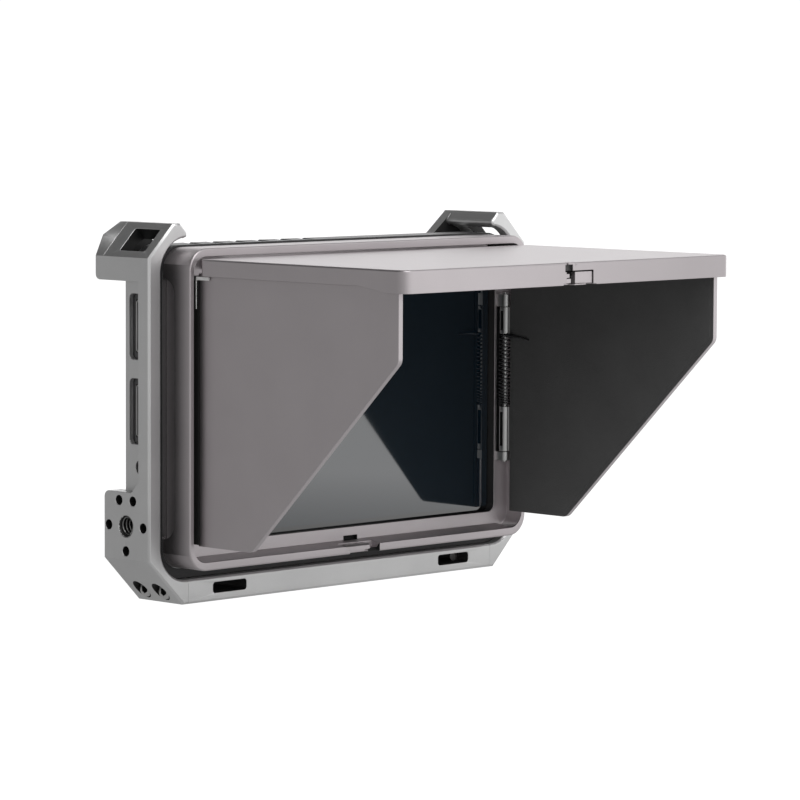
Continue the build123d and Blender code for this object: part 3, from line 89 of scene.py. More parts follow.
def mapped(tree, value, source, target, smooth=False):
    """Carries a value over from one span to another, in a straight line or smoothly."""
    settings = {"interpolation_type": "SMOOTHSTEP"} if smooth else {}
    return wired(tree, "ShaderNodeMapRange", settings, {
        "Value": value, "From Min": source[0], "From Max": source[1],
        "To Min": target[0], "To Max": target[1]}).outputs["Result"]


def towards(tree, place, direction):
    """How far a place or a heading lies in a direction."""
    return wired(tree, "ShaderNodeVectorMath", {"operation": "DOT_PRODUCT"},
                 {0: place, 1: direction}).outputs["Value"]


def spot_on(tree, kind="Object"):
    """Where on its object a point lies or, as Generated in the air, which way it is."""
    return wired(tree, "ShaderNodeTexCoord", {}, {}).outputs[kind]


def shown_as(tree, plain, light):
    """A light's strength where it lights things, and its plain strength where it is seen."""
    seen = wired(tree, "ShaderNodeLightPath", {}, {}).outputs["Is Camera Ray"]
    return wired(tree, "ShaderNodeMix", {}, {0: seen, 2: light, 3: plain}).outputs[0]


def blank_material(name):
    material = bpy.data.materials.new(name)
    material.use_nodes = True
    return material, material.node_tree, material.node_tree.nodes["Principled BSDF"]


def plain_object(name, corners, faces):
    mesh = bpy.data.meshes.new(name)
    mesh.from_pydata([tuple(c * MM for c in corner) for corner in corners], [], faces)
    obj = bpy.data.objects.new(name, mesh)
    bpy.context.collection.objects.link(obj)
    return obj


floor_half, floor_z = 20000, -0.05
floor = plain_object("studio_floor", [(x * floor_half, y * floor_half, floor_z) for x, y in (
    (-1, -1), (1, -1), (1, 1), (-1, 1))], [(0, 1, 2, 3)])
floor_paint, tree, surface = blank_material("studio_floor_paint")
side_light = (0.80, -0.42, 0.25)
across = towards(tree, spot_on(tree), side_light)
near_glow = mapped(tree, across, (-0.07, -0.005), (0.30, 0.46))
far_glow = mapped(tree, across, (0.08, 0.28), (0.0, 0.60))
tree.links.new(shown_as(tree, 1.02, worked(tree, "ADD", near_glow, far_glow)),
               surface.inputs["Emission Strength"])
surface.inputs["Emission Color"].default_value = (1, 1, 1, 1)
surface.inputs["Base Color"].default_value = (0.12, 0.12, 0.12, 1)
surface.inputs["Roughness"].default_value = 0.95
surface.inputs["Specular IOR Level"].default_value = 0.0
floor.data.materials.append(floor_paint)

air = bpy.data.worlds.new("studio_air")
bpy.context.scene.world = air
air.use_nodes = True
tree = air.node_tree
heading = spot_on(tree, "Generated")
shade = mapped(tree, towards(tree, heading, side_light), (-0.85, 0.45), (0.53, 1.10))
ceiling = mapped(tree, towards(tree, heading, (-0.10, 0.30, 0.95)), (0.22, 0.72), (1.0, 0.07), True)
back_light = mapped(tree, towards(tree, heading, (0.66, 0.64, 0.40)), (0.84, 0.97), (0.0, 0.72), True)
air_light = worked(tree, "MULTIPLY_ADD", shade, ceiling, back_light)
tree.links.new(shown_as(tree, 1.05, air_light), tree.nodes["Background"].inputs["Strength"])
tree.nodes["Background"].inputs["Color"].default_value = (1, 1, 1, 1)

lamp = bpy.data.lights.new("overhead_light", "SUN")
lamp.energy = 1.3
lamp.angle = math.radians(40)
overhead = bpy.data.objects.new("overhead_light", lamp)
bpy.context.collection.objects.link(overhead)
overhead.rotation_euler = Vector((0.15, 0.60, -1.0)).to_track_quat("-Z", "Y").to_euler()


# Machined cage. Two sides and a bottom bar are milled from aluminium, bead
# blasted and anodised grey, with every outer edge lightly broken. Each side's
# corner block and plate are joined so closely that no seam shows.
def fine_grain_group():
    """Speckled finish: a tone, a roughness and a height from two layers of noise."""
    tree = bpy.data.node_groups.new("fine_grain", "ShaderNodeTree")
    for name, value in (("Grain Scale", 9000.0), ("Cloud Scale", 60.0), ("Roughness", 0.4),
                        ("Roughness Spread", 0.1)):
        tree.interface.new_socket(name=name, in_out="INPUT", socket_type="NodeSocketFloat")\
            .default_value = value
    for name in ("Tone", "Roughness", "Height"):
        tree.interface.new_socket(name=name, in_out="OUTPUT", socket_type="NodeSocketFloat")
    start, end = tree.nodes.new("NodeGroupInput"), tree.nodes.new("NodeGroupOutput")
    place = spot_on(tree)
    grain = wired(tree, "ShaderNodeTexNoise", {}, {
        "Vector": place, "Detail": 3.0, "Scale": start.outputs["Grain Scale"]}).outputs["Fac"]
    cloud = wired(tree, "ShaderNodeTexNoise", {}, {
        "Vector": place, "Detail": 4.0, "Scale": start.outputs["Cloud Scale"]}).outputs["Fac"]
    tone = worked(tree, "MULTIPLY_ADD", cloud, 0.65, worked(tree, "MULTIPLY", grain, 0.35))
    rough = worked(tree, "MULTIPLY_ADD", worked(tree, "SUBTRACT", tone, 0.5),
                   start.outputs["Roughness Spread"], start.outputs["Roughness"])
    for name, value in (("Tone", tone), ("Roughness", rough), ("Height", grain)):
        tree.links.new(value, end.inputs[name])
    return tree


fine_grain = fine_grain_group()


def finish(name, dark, light, metallic=0.0, roughness=0.45, spread=0.15, grain=9000.0, cloud=60.0,
           bump=0.02, specular=0.5):
    """A material whose colour, roughness and relief come from the fine grain group."""
    material, tree, surface = blank_material(name)
    detail = wired(tree, "ShaderNodeGroup", {"node_tree": fine_grain}, {
        "Grain Scale": grain, "Cloud Scale": cloud, "Roughness": roughness, "Roughness Spread": spread})
    ramp = wired(tree, "ShaderNodeValToRGB", {}, {"Fac": detail.outputs["Tone"]})
    for element, position, colour in zip(ramp.color_ramp.elements, (0.3, 0.7), (dark, light)):
        element.position, element.color = position, (*colour, 1)
    relief = wired(tree, "ShaderNodeBump", {}, {"Strength": 1.0, "Distance": bump * MM,
                                                "Height": detail.outputs["Height"]})
    tree.links.new(ramp.outputs["Color"], surface.inputs["Base Color"])
    tree.links.new(detail.outputs["Roughness"], surface.inputs["Roughness"])
    tree.links.new(relief.outputs["Normal"], surface.inputs["Normal"])
    surface.inputs["Metallic"].default_value = metallic
    surface.inputs["Specular IOR Level"].default_value = specular
    return material


def settled(obj):
    """Keeps what an object's modifiers make as its plain mesh."""
    depsgraph = bpy.context.evaluated_depsgraph_get()
    made = bpy.data.meshes.new_from_object(obj.evaluated_get(depsgraph),
                                           preserve_all_data_layers=True, depsgraph=depsgraph)
    obj.modifiers.clear()
    obj.data = made
    return obj


def tidy_shape(shape):
    bmesh.ops.remove_doubles(shape, verts=shape.verts, dist=1.5e-6)
    bmesh.ops.dissolve_limit(shape, angle_limit=math.radians(0.4), verts=shape.verts,
                             edges=shape.edges)
    bmesh.ops.triangulate(shape, faces=[face for face in shape.faces if len(face.verts) > 4])


def solid_copy(name, node):
    """A copy of one CAD solid with its loose triangles merged into whole faces."""
    shape = bmesh.new()
    shape.from_mesh(nodes[node].data)
    tidy_shape(shape)
    mesh = bpy.data.meshes.new(name)
    shape.to_mesh(mesh)
    shape.free()
    obj = bpy.data.objects.new(name, mesh)
    bpy.context.collection.objects.link(obj)
    return obj


def combined(obj, others, operation):
    """Joins other shapes to an object, or cuts them out of it."""
    for other in others:
        change = obj.modifiers.new("join", "BOOLEAN")
        change.operation, change.solver, change.object = operation, "EXACT", other
    settled(obj)
    for other in others:
        bpy.data.objects.remove(other)
    return obj


def softened(obj, width, finishes, turn=32, steps=2):
    """Rounds an object's sharp edges. The rounded strips take the second finish."""
    shape = bmesh.new()
    shape.from_mesh(obj.data)
    tidy_shape(shape)
    for face in shape.faces:
        face.material_index = 0
    sharp = [edge for edge in shape.edges
             if len(edge.link_faces) == 2 and edge.calc_face_angle(0) > math.radians(turn)]
    bmesh.ops.bevel(shape, geom=sharp, offset=width * MM, offset_type="OFFSET", segments=steps,
                    profile=0.5, affect="EDGES", clamp_overlap=False, material=1)
    for face in shape.faces:
        face.smooth = True
    mesh = bpy.data.meshes.new(obj.name)
    shape.to_mesh(mesh)
    shape.free()
    mesh.set_sharp_from_angle(angle=math.radians(40))
    obj.data = mesh
    weigh = obj.modifiers.new("even_shading", "WEIGHTED_NORMAL")
    weigh.keep_sharp = True
    settled(obj)
    obj.data.materials.clear()
    for material in finishes:
        obj.data.materials.append(material)
    return obj


def refaced(obj, other_finish, test):
    """Gives the faces that pass a test, on their centre in mm and normal, another finish."""
    index = obj.data.materials.find(other_finish.name)
    for face in obj.data.polygons:
        if test(face.center / MM, face.normal):
            face.material_index = index


def fitted(obj, body, slot, *replaced):
    """Says what a finished piece rides on and hides what it stands for; the slot argument is not used.
    """
    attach(obj, body)
    if replaced:
        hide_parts(*replaced)
    return obj


def dressed(node, *materials):
    nodes[node].data.materials.clear()
    for material in materials:
        nodes[node].data.materials.append(material)


cage_metal = finish("anodised_cage", (0.61, 0.61, 0.612), (0.68, 0.68, 0.678), metallic=0.9,
                    roughness=0.44, spread=0.12, bump=0.012)
cage_edge = finish("cage_broken_edge", (0.66, 0.66, 0.66), (0.76, 0.76, 0.755), metallic=0.95,
                   roughness=0.36, spread=0.1, bump=0.008)
# Near-black painted shade for the insides of the cage's holes and slots.
hole_painted_shade = finish("hole_painted_shade", (0.010, 0.010, 0.010), (0.020, 0.020, 0.020), metallic=0.3,
                    roughness=0.55, bump=0.01)
sides = ((-1, "left"), (1, "right"))
thread_y, thread_z, thread_reach, side_face = 0.4, 22.4, 3.0, 76.3
pin_away, pin_reach = 7.15, 1.6
pin_places = ((0, 15.4), (-pin_away, thread_z), (-2.87, 29.6), (pin_away, thread_z), (2.87, 29.6))
side_bores = [(thread_y, thread_z, thread_reach)] + [
    (thread_y + away, z, pin_reach) for away, z in pin_places]
screw_rows, screw_z, screw_reach, screw_floor = (-3.6, 4.3), 3.5, 2.7, 63.6
screw_bores = [(y, screw_z, screw_reach) for y in screw_rows]
window_line, window_face, window_half, window_low = 30.5, 174.2, 4.3, 94
window_y, window_half_y = -0.5, 5.3
hook_back_y, hook_low = 9.7, 90.9
strap_x, strap_half_x, strap_z, strap_half_z, strap_front = 45.7, 6.7, 3.85, 1.75, -9.0
tie_x, tie_y = 27, 3.0
bar_holes = ((tie_x, tie_y, 3.0), (0, 0, 2.9), (pin_away, 0, pin_reach))


def in_bore(place, bores):
    return any(math.hypot(place.y - y, place.z - z) < reach for y, z, reach in bores)


def side_hollow(place, normal):
    """The faces of a cage side that take painted shade: its holes, counterbores and strap window, and
    the back of its hook.
    """
    across = abs(place.x)
    in_side = across < side_face and in_bore(place, side_bores)
    in_counterbore = in_bore(place, screw_bores) and (abs(normal.x) < 0.5 or across < screw_floor)
    along_slope = (across - place.z + window_line) / 2 ** 0.5
    below_slope = (window_face - across - place.z) / 2 ** 0.5
    in_window = (below_slope > 0.15 and abs(along_slope) < window_half
                 and abs(place.y - window_y) < window_half_y and place.z > window_low)
    behind_hook = normal.y < -0.9 and abs(place.y - hook_back_y) < 0.2 and place.z > hook_low
    return in_side or in_counterbore or in_window or behind_hook


def bar_hollow(place, normal):
    """The faces of the bar that take painted shade: the walls of its strap slots and of its holes from
    below.
    """
    across = abs(place.x)
    in_strap_slot = (abs(across - strap_x) < strap_half_x and abs(place.z - strap_z) < strap_half_z
                     and place.y > strap_front)
    in_hole = place.z > 0.15 and abs(normal.z) < 0.5 and any(
        math.hypot(across - x, place.y - y) < reach for x, y, reach in bar_holes)
    return in_strap_slot or in_hole


def within(place, low, high):
    """Whether a place lies in a block between two corners."""
    return all(near < value < far for near, value, far in zip(low, place, high))


def box_shape(name, low, high):
    """A block between two corners in mm, to be joined on or cut out."""
    corners = [(x, y, z) for x in (low[0], high[0]) for y in (low[1], high[1])
               for z in (low[2], high[2])]
    return plain_object(name, corners, [(0, 1, 3, 2), (4, 6, 7, 5), (0, 4, 5, 1), (2, 3, 7, 6),
                                        (0, 2, 6, 4), (1, 5, 7, 3)])


def bar_shape(name, outline, along, low, high):
    """A straight bar along X or Y whose section is an outline in mm."""
    corners = [(end, across, z) if along == "X" else (across, end, z)
               for end in (low, high) for across, z in outline]
    count = len(outline)
    faces = [tuple(range(count)), tuple(range(2 * count - 1, count - 1, -1))]
    faces += [(i, i + count, (i + 1) % count + count, (i + 1) % count) for i in range(count)]
    obj = plain_object(name, corners, faces)
    shape = bmesh.new()
    shape.from_mesh(obj.data)
    bmesh.ops.recalc_face_normals(shape, faces=shape.faces)
    shape.to_mesh(obj.data)
    shape.free()
    return obj


def arc_points(centre, radius, first, last, steps=8):
    """Places on an arc in mm; the angles are in degrees."""
    turns = [math.radians(first + (last - first) * step / steps) for step in range(steps + 1)]
    return [(centre[0] + radius * math.cos(turn), centre[1] + radius * math.sin(turn))
            for turn in turns]


cage_break, cage_finishes = 0.14, (cage_metal, cage_edge, hole_painted_shade)
corner_y, corner_z, corner_radius = 11.4, 92.6, 1.6
tip_x, tip_z, tip_radius = 62.92, 103.97, 1.02
rear_corner = arc_points((corner_y, corner_z), corner_radius, 0, -90) + [
    (corner_y, 90.4), (13.6, 90.4), (13.6, corner_z)]
hook_tip = [(tip_x - across, tip_z + rise) for across, rise in arc_points((0, 0), tip_radius, 45, -84.6)]
hook_tip += [(62.82, 102.5), (61.5, 102.5), (61.5, 105.0), (61.9, 105.0)]
for side, name in sides:
    cage_side = solid_copy(f"cage_{name}", f"cage_{name}_plate")
    combined(cage_side, [solid_copy("corner_block", f"cage_{name}_block")], "UNION")
    combined(cage_side, [
        bar_shape("rear_corner", rear_corner, "X", *sorted((side * 67, side * 78))),
        bar_shape("hook_tip", [(side * x, z) for x, z in hook_tip], "Y", -9.6, hook_back_y)],
        "DIFFERENCE")
    softened(cage_side, cage_break, cage_finishes)
    refaced(cage_side, hole_painted_shade, side_hollow)
    fitted(cage_side, "chassis", "cage", f"cage_{name}_plate", f"cage_{name}_block")
cage_bar = softened(solid_copy("cage_bar", "cage_bottom_bar"), cage_break, cage_finishes)
refaced(cage_bar, hole_painted_shade, bar_hollow)
fitted(cage_bar, "chassis", "cage", "cage_bottom_bar")
dowel_steel = finish("dowel_steel", (0.42, 0.42, 0.42), (0.55, 0.55, 0.55), metallic=1.0,
                     roughness=0.3)
dressed("cage_dowels", dowel_steel)


# Tripod threads. Each 1/4 inch hole in the cage is tapped with 20 turns to the
# inch, so a fine ridge winds down its wall.
def coil_tree():
    """Geometry nodes: one wire wound into a coil along Z, with a tighter or looser far end."""
    tree = bpy.data.node_groups.new("wound_wire", "GeometryNodeTree")
    for name, kind, value in (("Coil Radius", "Float", 0.0016), ("Wire Radius", "Float", 0.00025),
                              ("Length", "Float", 0.02), ("Turns", "Float", 20.0),
                              ("Uneven", "Float", 0.0), ("Sides", "Int", 10), ("Steps", "Int", 24),
                              ("Finish", "Material", None)):
        socket = tree.interface.new_socket(name=name, in_out="INPUT",
                                           socket_type=f"NodeSocket{kind}")
        if value is not None:
            socket.default_value = value
    tree.interface.new_socket(name="Mesh", in_out="OUTPUT", socket_type="NodeSocketGeometry")
    start, end = tree.nodes.new("NodeGroupInput"), tree.nodes.new("NodeGroupOutput")
    size = start.outputs
    spiral = wired(tree, "GeometryNodeCurveSpiral", {}, {
        "Resolution": size["Steps"], "Rotations": size["Turns"], "Start Radius": size["Coil Radius"],
        "End Radius": size["Coil Radius"], "Height": size["Length"]})
    spot = wired(tree, "ShaderNodeSeparateXYZ", {}, {
        0: wired(tree, "GeometryNodeInputPosition", {}, {}).outputs[0]})
    share = worked(tree, "DIVIDE", spot.outputs["Z"], size["Length"])
    uneven = wired(tree, "ShaderNodeFloatCurve", {}, {"Value": share})
    curve = uneven.mapping.curves[0]
    curve.points.new(0.22, 0.16)
    curve.points.new(0.78, 0.76)
    uneven.mapping.update()
    mixed = wired(tree, "ShaderNodeMix", {}, {0: size["Uneven"], 2: share, 3: uneven.outputs[0]})
    height = worked(tree, "MULTIPLY", mixed.outputs[0], size["Length"])
    moved = wired(tree, "ShaderNodeCombineXYZ", {}, {"X": spot.outputs["X"], "Y": spot.outputs["Y"],
                                                     "Z": height})
    wound = wired(tree, "GeometryNodeSetPosition", {}, {"Geometry": spiral.outputs[0],
                                                        "Position": moved.outputs[0]})
    ring = wired(tree, "GeometryNodeCurvePrimitiveCircle", {}, {"Resolution": size["Sides"],
                                                                "Radius": size["Wire Radius"]})
    solid = wired(tree, "GeometryNodeCurveToMesh", {}, {"Curve": wound.outputs[0],
                                                        "Profile Curve": ring.outputs[0],
                                                        "Fill Caps": True})
    whole = wired(tree, "GeometryNodeRealizeInstances", {}, {0: solid.outputs[0]})
    painted = wired(tree, "GeometryNodeSetMaterial", {}, {"Geometry": whole.outputs[0],
                                                          "Material": size["Finish"]})
    tree.links.new(painted.outputs[0], end.inputs[0])
    return tree


def grown(name, tree, sizes, carrier=None):
    """Runs a geometry node tree and keeps its result as a plain mesh."""
    obj = bpy.data.objects.new(name, carrier or bpy.data.meshes.new(name))
    bpy.context.collection.objects.link(obj)
    maker = obj.modifiers.new("maker", "NODES")
    maker.node_group = tree
    for socket in tree.interface.items_tree:
        if socket.in_out == "INPUT" and socket.name in sizes:
            maker[socket.identifier] = sizes[socket.name]
    return settled(obj)


def stood(obj, place, direction):
    """Moves a mesh made along Z to a place in mm, pointing in a direction."""
    turned = Vector(direction).to_track_quat("Z", "Y").to_matrix().to_4x4()
    obj.data.transform(Matrix.Translation(Vector(place) * MM) @ turned)
    return obj


wound_wire = coil_tree()
thread_pitch, thread_radius, ridge_radius, thread_x = 25.4 / 20, 2.62, 0.3, 72.0
thread_metal = finish("tapped_thread", (0.30, 0.30, 0.30), (0.42, 0.42, 0.41), metallic=1.0,
                      roughness=0.3, bump=0.005)
for name, place, direction, depth in (
        ("base_thread", (0, 0, 5.4), (0, 0, -1), 5.0),
        ("left_side_thread", (-thread_x, thread_y, thread_z), (-1, 0, 0), 4.0),
        ("right_side_thread", (thread_x, thread_y, thread_z), (1, 0, 0), 4.0)):
    thread = grown(name, wound_wire, {
        "Coil Radius": thread_radius * MM, "Wire Radius": ridge_radius * MM, "Length": depth * MM,
        "Turns": depth / thread_pitch, "Sides": 6, "Steps": 48, "Finish": thread_metal})
    fitted(stood(thread, place, direction), "chassis", "cage")


# Cap screws. Stainless cylinder heads with a hexagon socket hold the corners to
# the bar, the bar to the monitor, and the back of the case together.
def screw_tree():
    """Geometry nodes: socket head screws on points, turned to the points' facing."""
    tree = bpy.data.node_groups.new("socket_screws", "GeometryNodeTree")
    tree.interface.new_socket(name="Seats", in_out="INPUT", socket_type="NodeSocketGeometry")
    for name, value in (("Head Radius", 0.00225), ("Head Height", 0.0025), ("Head Break", 0.0003),
                        ("Socket Radius", 0.0013), ("Socket Depth", 0.0014), ("Shank Radius", 0.00125),
                        ("Shank Length", 0.01)):
        tree.interface.new_socket(name=name, in_out="INPUT", socket_type="NodeSocketFloat")\
            .default_value = value
    for name in ("Steel", "Socket Shade"):
        tree.interface.new_socket(name=name, in_out="INPUT", socket_type="NodeSocketMaterial")
    tree.interface.new_socket(name="Mesh", in_out="OUTPUT", socket_type="NodeSocketGeometry")
    start, end = tree.nodes.new("NodeGroupInput"), tree.nodes.new("NodeGroupOutput")
    size = start.outputs

    def lifted(geometry, height):
        place = wired(tree, "ShaderNodeCombineXYZ", {}, {"Z": height})
        return wired(tree, "GeometryNodeTransform", {}, {"Geometry": geometry,
                                                         "Translation": place.outputs[0]}).outputs[0]

    def drum(sides, foot, top, depth):
        return wired(tree, "GeometryNodeMeshCone", {}, {
            "Vertices": sides, "Radius Bottom": foot, "Radius Top": top, "Depth": depth}).outputs[0]

    def dyed(geometry, material):
        return wired(tree, "GeometryNodeSetMaterial", {}, {"Geometry": geometry,
                                                           "Material": material}).outputs[0]

    body_height = worked(tree, "SUBTRACT", size["Head Height"], size["Head Break"])
    top_radius = worked(tree, "SUBTRACT", size["Head Radius"], size["Head Break"])
    body = drum(32, size["Head Radius"], size["Head Radius"], body_height)
    crown = drum(32, size["Head Radius"], top_radius, size["Head Break"])
    hexagon = drum(6, size["Socket Radius"], size["Socket Radius"], size["Head Height"])
    shank = drum(16, size["Shank Radius"], size["Shank Radius"], size["Shank Length"])
    head = wired(tree, "GeometryNodeMeshBoolean", {"operation": "UNION", "solver": "EXACT"}, {
        "Mesh 2": body})
    tree.links.new(lifted(crown, body_height), head.inputs["Mesh 2"])
    bore = worked(tree, "SUBTRACT", size["Head Height"], size["Socket Depth"])
    cut = wired(tree, "GeometryNodeMeshBoolean", {"operation": "DIFFERENCE", "solver": "EXACT"}, {
        "Mesh 1": dyed(head.outputs[0], size["Steel"]),
        "Mesh 2": dyed(lifted(hexagon, bore), size["Socket Shade"])})
    buried = worked(tree, "SUBTRACT", 0.0, size["Shank Length"])
    screw = wired(tree, "GeometryNodeJoinGeometry", {}, {0: cut.outputs[0]})
    tree.links.new(dyed(lifted(shank, buried), size["Steel"]), screw.inputs[0])
    facing = wired(tree, "GeometryNodeInputNamedAttribute", {"data_type": "FLOAT_VECTOR"},
                   {"Name": "facing"})
    aimed = wired(tree, "FunctionNodeAlignRotationToVector", {"axis": "Z"},
                  {"Vector": facing.outputs[0]})
    placed = wired(tree, "GeometryNodeInstanceOnPoints", {}, {
        "Points": size["Seats"], "Instance": screw.outputs[0], "Rotation": aimed.outputs[0]})
    whole = wired(tree, "GeometryNodeRealizeInstances", {}, {0: placed.outputs[0]})
    tree.links.new(whole.outputs[0], end.inputs[0])
    return tree


def screws(name, seats, direction, sizes, *replaced):
    """A group of like screws; seats are the undersides of their heads, in mm."""
    carrier = bpy.data.meshes.new(name)
    carrier.from_pydata([tuple(value * MM for value in seat) for seat in seats], [], [])
    facing = carrier.attributes.new("facing", "FLOAT_VECTOR", "POINT")
    for index in range(len(seats)):
        facing.data[index].vector = direction(seats[index])
    obj = grown(name, socket_screws, {**sizes, "Steel": screw_steel, "Socket Shade": socket_shade},
                carrier)
    obj.data.set_sharp_from_angle(angle=math.radians(30))
    return fitted(obj, "chassis", "screw_steel", *replaced)


socket_screws = screw_tree()
screw_steel = finish("screw_steel", (0.52, 0.515, 0.51), (0.64, 0.635, 0.63), metallic=1.0,
                     roughness=0.36, bump=0.006)
socket_shade = finish("screw_socket", (0.012, 0.012, 0.012), (0.02, 0.02, 0.02), metallic=0.3,
                      roughness=0.6, bump=0.004)
head_radius, corner_seat_x, tie_seat_z, case_seat_x, case_seat_y = 2.25, 63.44, 2.8, 49, 8.7
case_low, case_high = (corner.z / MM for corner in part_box("rear_screws"))
screws("corner_screws", [(side * corner_seat_x, y, screw_z) for side in (-1, 1) for y in screw_rows],
       lambda seat: (1 if seat[0] > 0 else -1, 0, 0), {"Shank Length": 12 * MM}, "cage_screws")
screws("floor_screws", [(side * tie_x, tie_y, tie_seat_z) for side in (-1, 1)],
       lambda seat: (0, 0, -1), {"Shank Length": 9.2 * MM}, "tie_screws")
screws("case_screws", [(side * case_seat_x, case_seat_y, z) for side in (-1, 1)
                       for z in (case_low + head_radius, case_high - head_radius)],
       lambda seat: (0, 1, 0), {"Shank Length": 9.0 * MM}, "rear_screws")

# Pads. Two strips of black rubber are glued to the bar. They carry the monitor
# and keep it from slipping in the cage.
pad_rubber = finish("pad_rubber", (0.02, 0.02, 0.02), (0.035, 0.035, 0.035), roughness=0.8,
                    grain=3000.0, bump=0.05)
dressed("cage_pads", pad_rubber)


# Monitor front. A thin black bezel holds one sheet of glossy cover glass over
# the display, dark and faintly blue when it is off. Its middle stands up a
# little into the hood's window.
bezel_plastic = finish("bezel_plastic", (0.012, 0.012, 0.013), (0.02, 0.02, 0.021), roughness=0.5)
dressed("monitor_bezel", bezel_plastic)
cover_glass, tree, surface = blank_material("cover_glass")
spot = wired(tree, "ShaderNodeSeparateXYZ", {}, {0: spot_on(tree)})


def inside(tree, value, middle, half, soft):
    """1 where a coordinate is within a span, 0 outside it, with a soft border; all in mm."""
    away = worked(tree, "ABSOLUTE", worked(tree, "SUBTRACT", value, middle * MM))
    return mapped(tree, away, ((half - soft) * MM, (half + soft) * MM), (1.0, 0.0))


picture_z, picture_half_x, picture_half_z, picture_soft = 52.85, 60.7, 34.15, 0.05
picture = worked(tree, "MULTIPLY", inside(tree, spot.outputs["X"], 0, picture_half_x, picture_soft),
                 inside(tree, spot.outputs["Z"], picture_z, picture_half_z, picture_soft))
border_tint, picture_tint = (0.0035, 0.0035, 0.004, 1), (0.0045, 0.013, 0.022, 1)
tint = wired(tree, "ShaderNodeMix", {"data_type": "RGBA"}, {
    0: picture, 6: border_tint, 7: picture_tint})
tree.links.new(tint.outputs[2], surface.inputs["Base Color"])
smear = wired(tree, "ShaderNodeTexNoise", {}, {"Vector": spot_on(tree), "Scale": 45.0, "Detail": 3.0})
tree.links.new(mapped(tree, smear.outputs["Fac"], (0.0, 1.0), (0.03, 0.07)),
               surface.inputs["Roughness"])
surface.inputs["IOR"].default_value = 2.3
pane = combined(solid_copy("cover_pane", "screen_glass"), [
    box_shape("raised_middle", (-60.95, -8.7, 17.35), (60.95, -6.0, 88.35))], "UNION")
softened(pane, 0.08, (cover_glass, cover_glass))
fitted(pane, "chassis", "screen_glass", "screen_glass")
display_face = finish("display_face", (0.008, 0.009, 0.012), (0.014, 0.016, 0.02), roughness=0.2)
dressed("lcd_panel", display_face)
diffuser_white = finish("diffuser_white", (0.62, 0.62, 0.60), (0.70, 0.70, 0.68), roughness=0.6)
dressed("backlight", diffuser_white)
frame_steel = finish("frame_steel", (0.35, 0.35, 0.35), (0.45, 0.45, 0.44), metallic=1.0,
                     roughness=0.4)
dressed("mid_frame", frame_steel)
ribbon_film = finish("ribbon_film", (0.30, 0.14, 0.03), (0.38, 0.18, 0.05), roughness=0.35)
dressed("display_ribbon", ribbon_film)

# Rear shell. Die-cast aluminium, bead blasted and anodised dark grey, with
# cooling fins on its sloping sides.
shell_metal = finish("rear_shell_metal", (0.16, 0.16, 0.163), (0.20, 0.20, 0.203), metallic=0.85,
                     roughness=0.48, spread=0.1, bump=0.02)
shell_edge = finish("rear_shell_edge", (0.24, 0.24, 0.243), (0.30, 0.30, 0.303), metallic=0.9,
                    roughness=0.4)
rear_case = softened(solid_copy("rear_case", "rear_shell"), 0.12, (shell_metal, shell_edge))
fitted(rear_case, "chassis", "rear_shell", "rear_shell")

# Sockets. Folded steel shells with dark tongues for video, moulded black bodies
# for headphones and power. All of them stand on the main board.
socket_metal = finish("socket_metal", (0.62, 0.62, 0.61), (0.74, 0.74, 0.73), metallic=1.0,
                      roughness=0.32)
socket_black = finish("socket_black", (0.010, 0.010, 0.010), (0.018, 0.018, 0.018), roughness=0.55)
socket_tongue = finish("socket_tongue", (0.07, 0.07, 0.07), (0.10, 0.10, 0.10), roughness=0.5)
port_y, tongue_reach, tongue_x = -0.85, 2.0, -70.9
for name in ("video_port_upper", "video_port_lower"):
    port = softened(solid_copy(f"{name}_shell", name), 0.1, (socket_metal, socket_metal, socket_tongue))
    refaced(port, socket_tongue, lambda place, normal: (
        place.x > tongue_x and abs(place.y - port_y) < tongue_reach))
    fitted(port, "chassis", "socket_metal", name)
for name in ("headphone_jack", "dc_jack"):
    dressed(name, socket_black)
dressed("service_port", socket_metal)
board_green = finish("circuit_board", (0.006, 0.035, 0.016), (0.012, 0.06, 0.028), roughness=0.4,
                     grain=1500.0, cloud=400.0, bump=0.05)
dressed("main_board", board_green)
dressed("power_switch", socket_black)

# Power button. A small round cap of black anodised aluminium stands in the
# right side of the case and presses on a switch on the board.
button_black = finish("button_black", (0.03, 0.03, 0.031), (0.045, 0.045, 0.046), metallic=0.8,
                      roughness=0.35)
dressed("power_button", button_black)

# Cooling. An extruded aluminium heat sink lies on the board, and a fan moulded
# in black plastic blows through the outlet in the rear shell.
sink_metal = finish("sink_metal", (0.50, 0.50, 0.50), (0.62, 0.62, 0.62), metallic=1.0,
                    roughness=0.42)
dressed("heatsink", sink_metal)
fan_plastic = finish("fan_plastic", (0.014, 0.014, 0.015), (0.024, 0.024, 0.025), roughness=0.42)
dressed("fan_frame", fan_plastic)
dressed("fan_rotor", fan_plastic)

# Battery plate. Moulded black plastic with gold spring contacts, a sliding
# release with its two springs, and four cross-head screws.
plate_plastic = finish("plate_plastic", (0.016, 0.016, 0.017), (0.028, 0.028, 0.029), roughness=0.55,
                       grain=4000.0, bump=0.05)
contact_gold = finish("contact_gold", (0.62, 0.42, 0.14), (0.75, 0.52, 0.20), metallic=1.0,
                      roughness=0.28)
plate_edge = finish("plate_edge", (0.03, 0.03, 0.031), (0.045, 0.045, 0.046), roughness=0.45)
battery_mount = softened(solid_copy("battery_mount", "battery_plate"), 0.15,
                         (plate_plastic, plate_edge))
fitted(battery_mount, "chassis", "black_plastic", "battery_plate")
contact_block = softened(solid_copy("contact_block", "battery_contacts"), 0.08,
                         (plate_plastic, plate_edge, contact_gold))
finger_length = 3.05
finger_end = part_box("battery_contacts")[0].x / MM + finger_length
refaced(contact_block, contact_gold, lambda place, normal: place.x < finger_end)
fitted(contact_block, "chassis", "contacts", "battery_contacts")
dressed("battery_release", button_black)
dressed("battery_plate_screws", screw_steel)
spring_wire = finish("spring_wire", (0.08, 0.08, 0.082), (0.15, 0.15, 0.152), metallic=0.95,
                     roughness=0.26, bump=0.004)
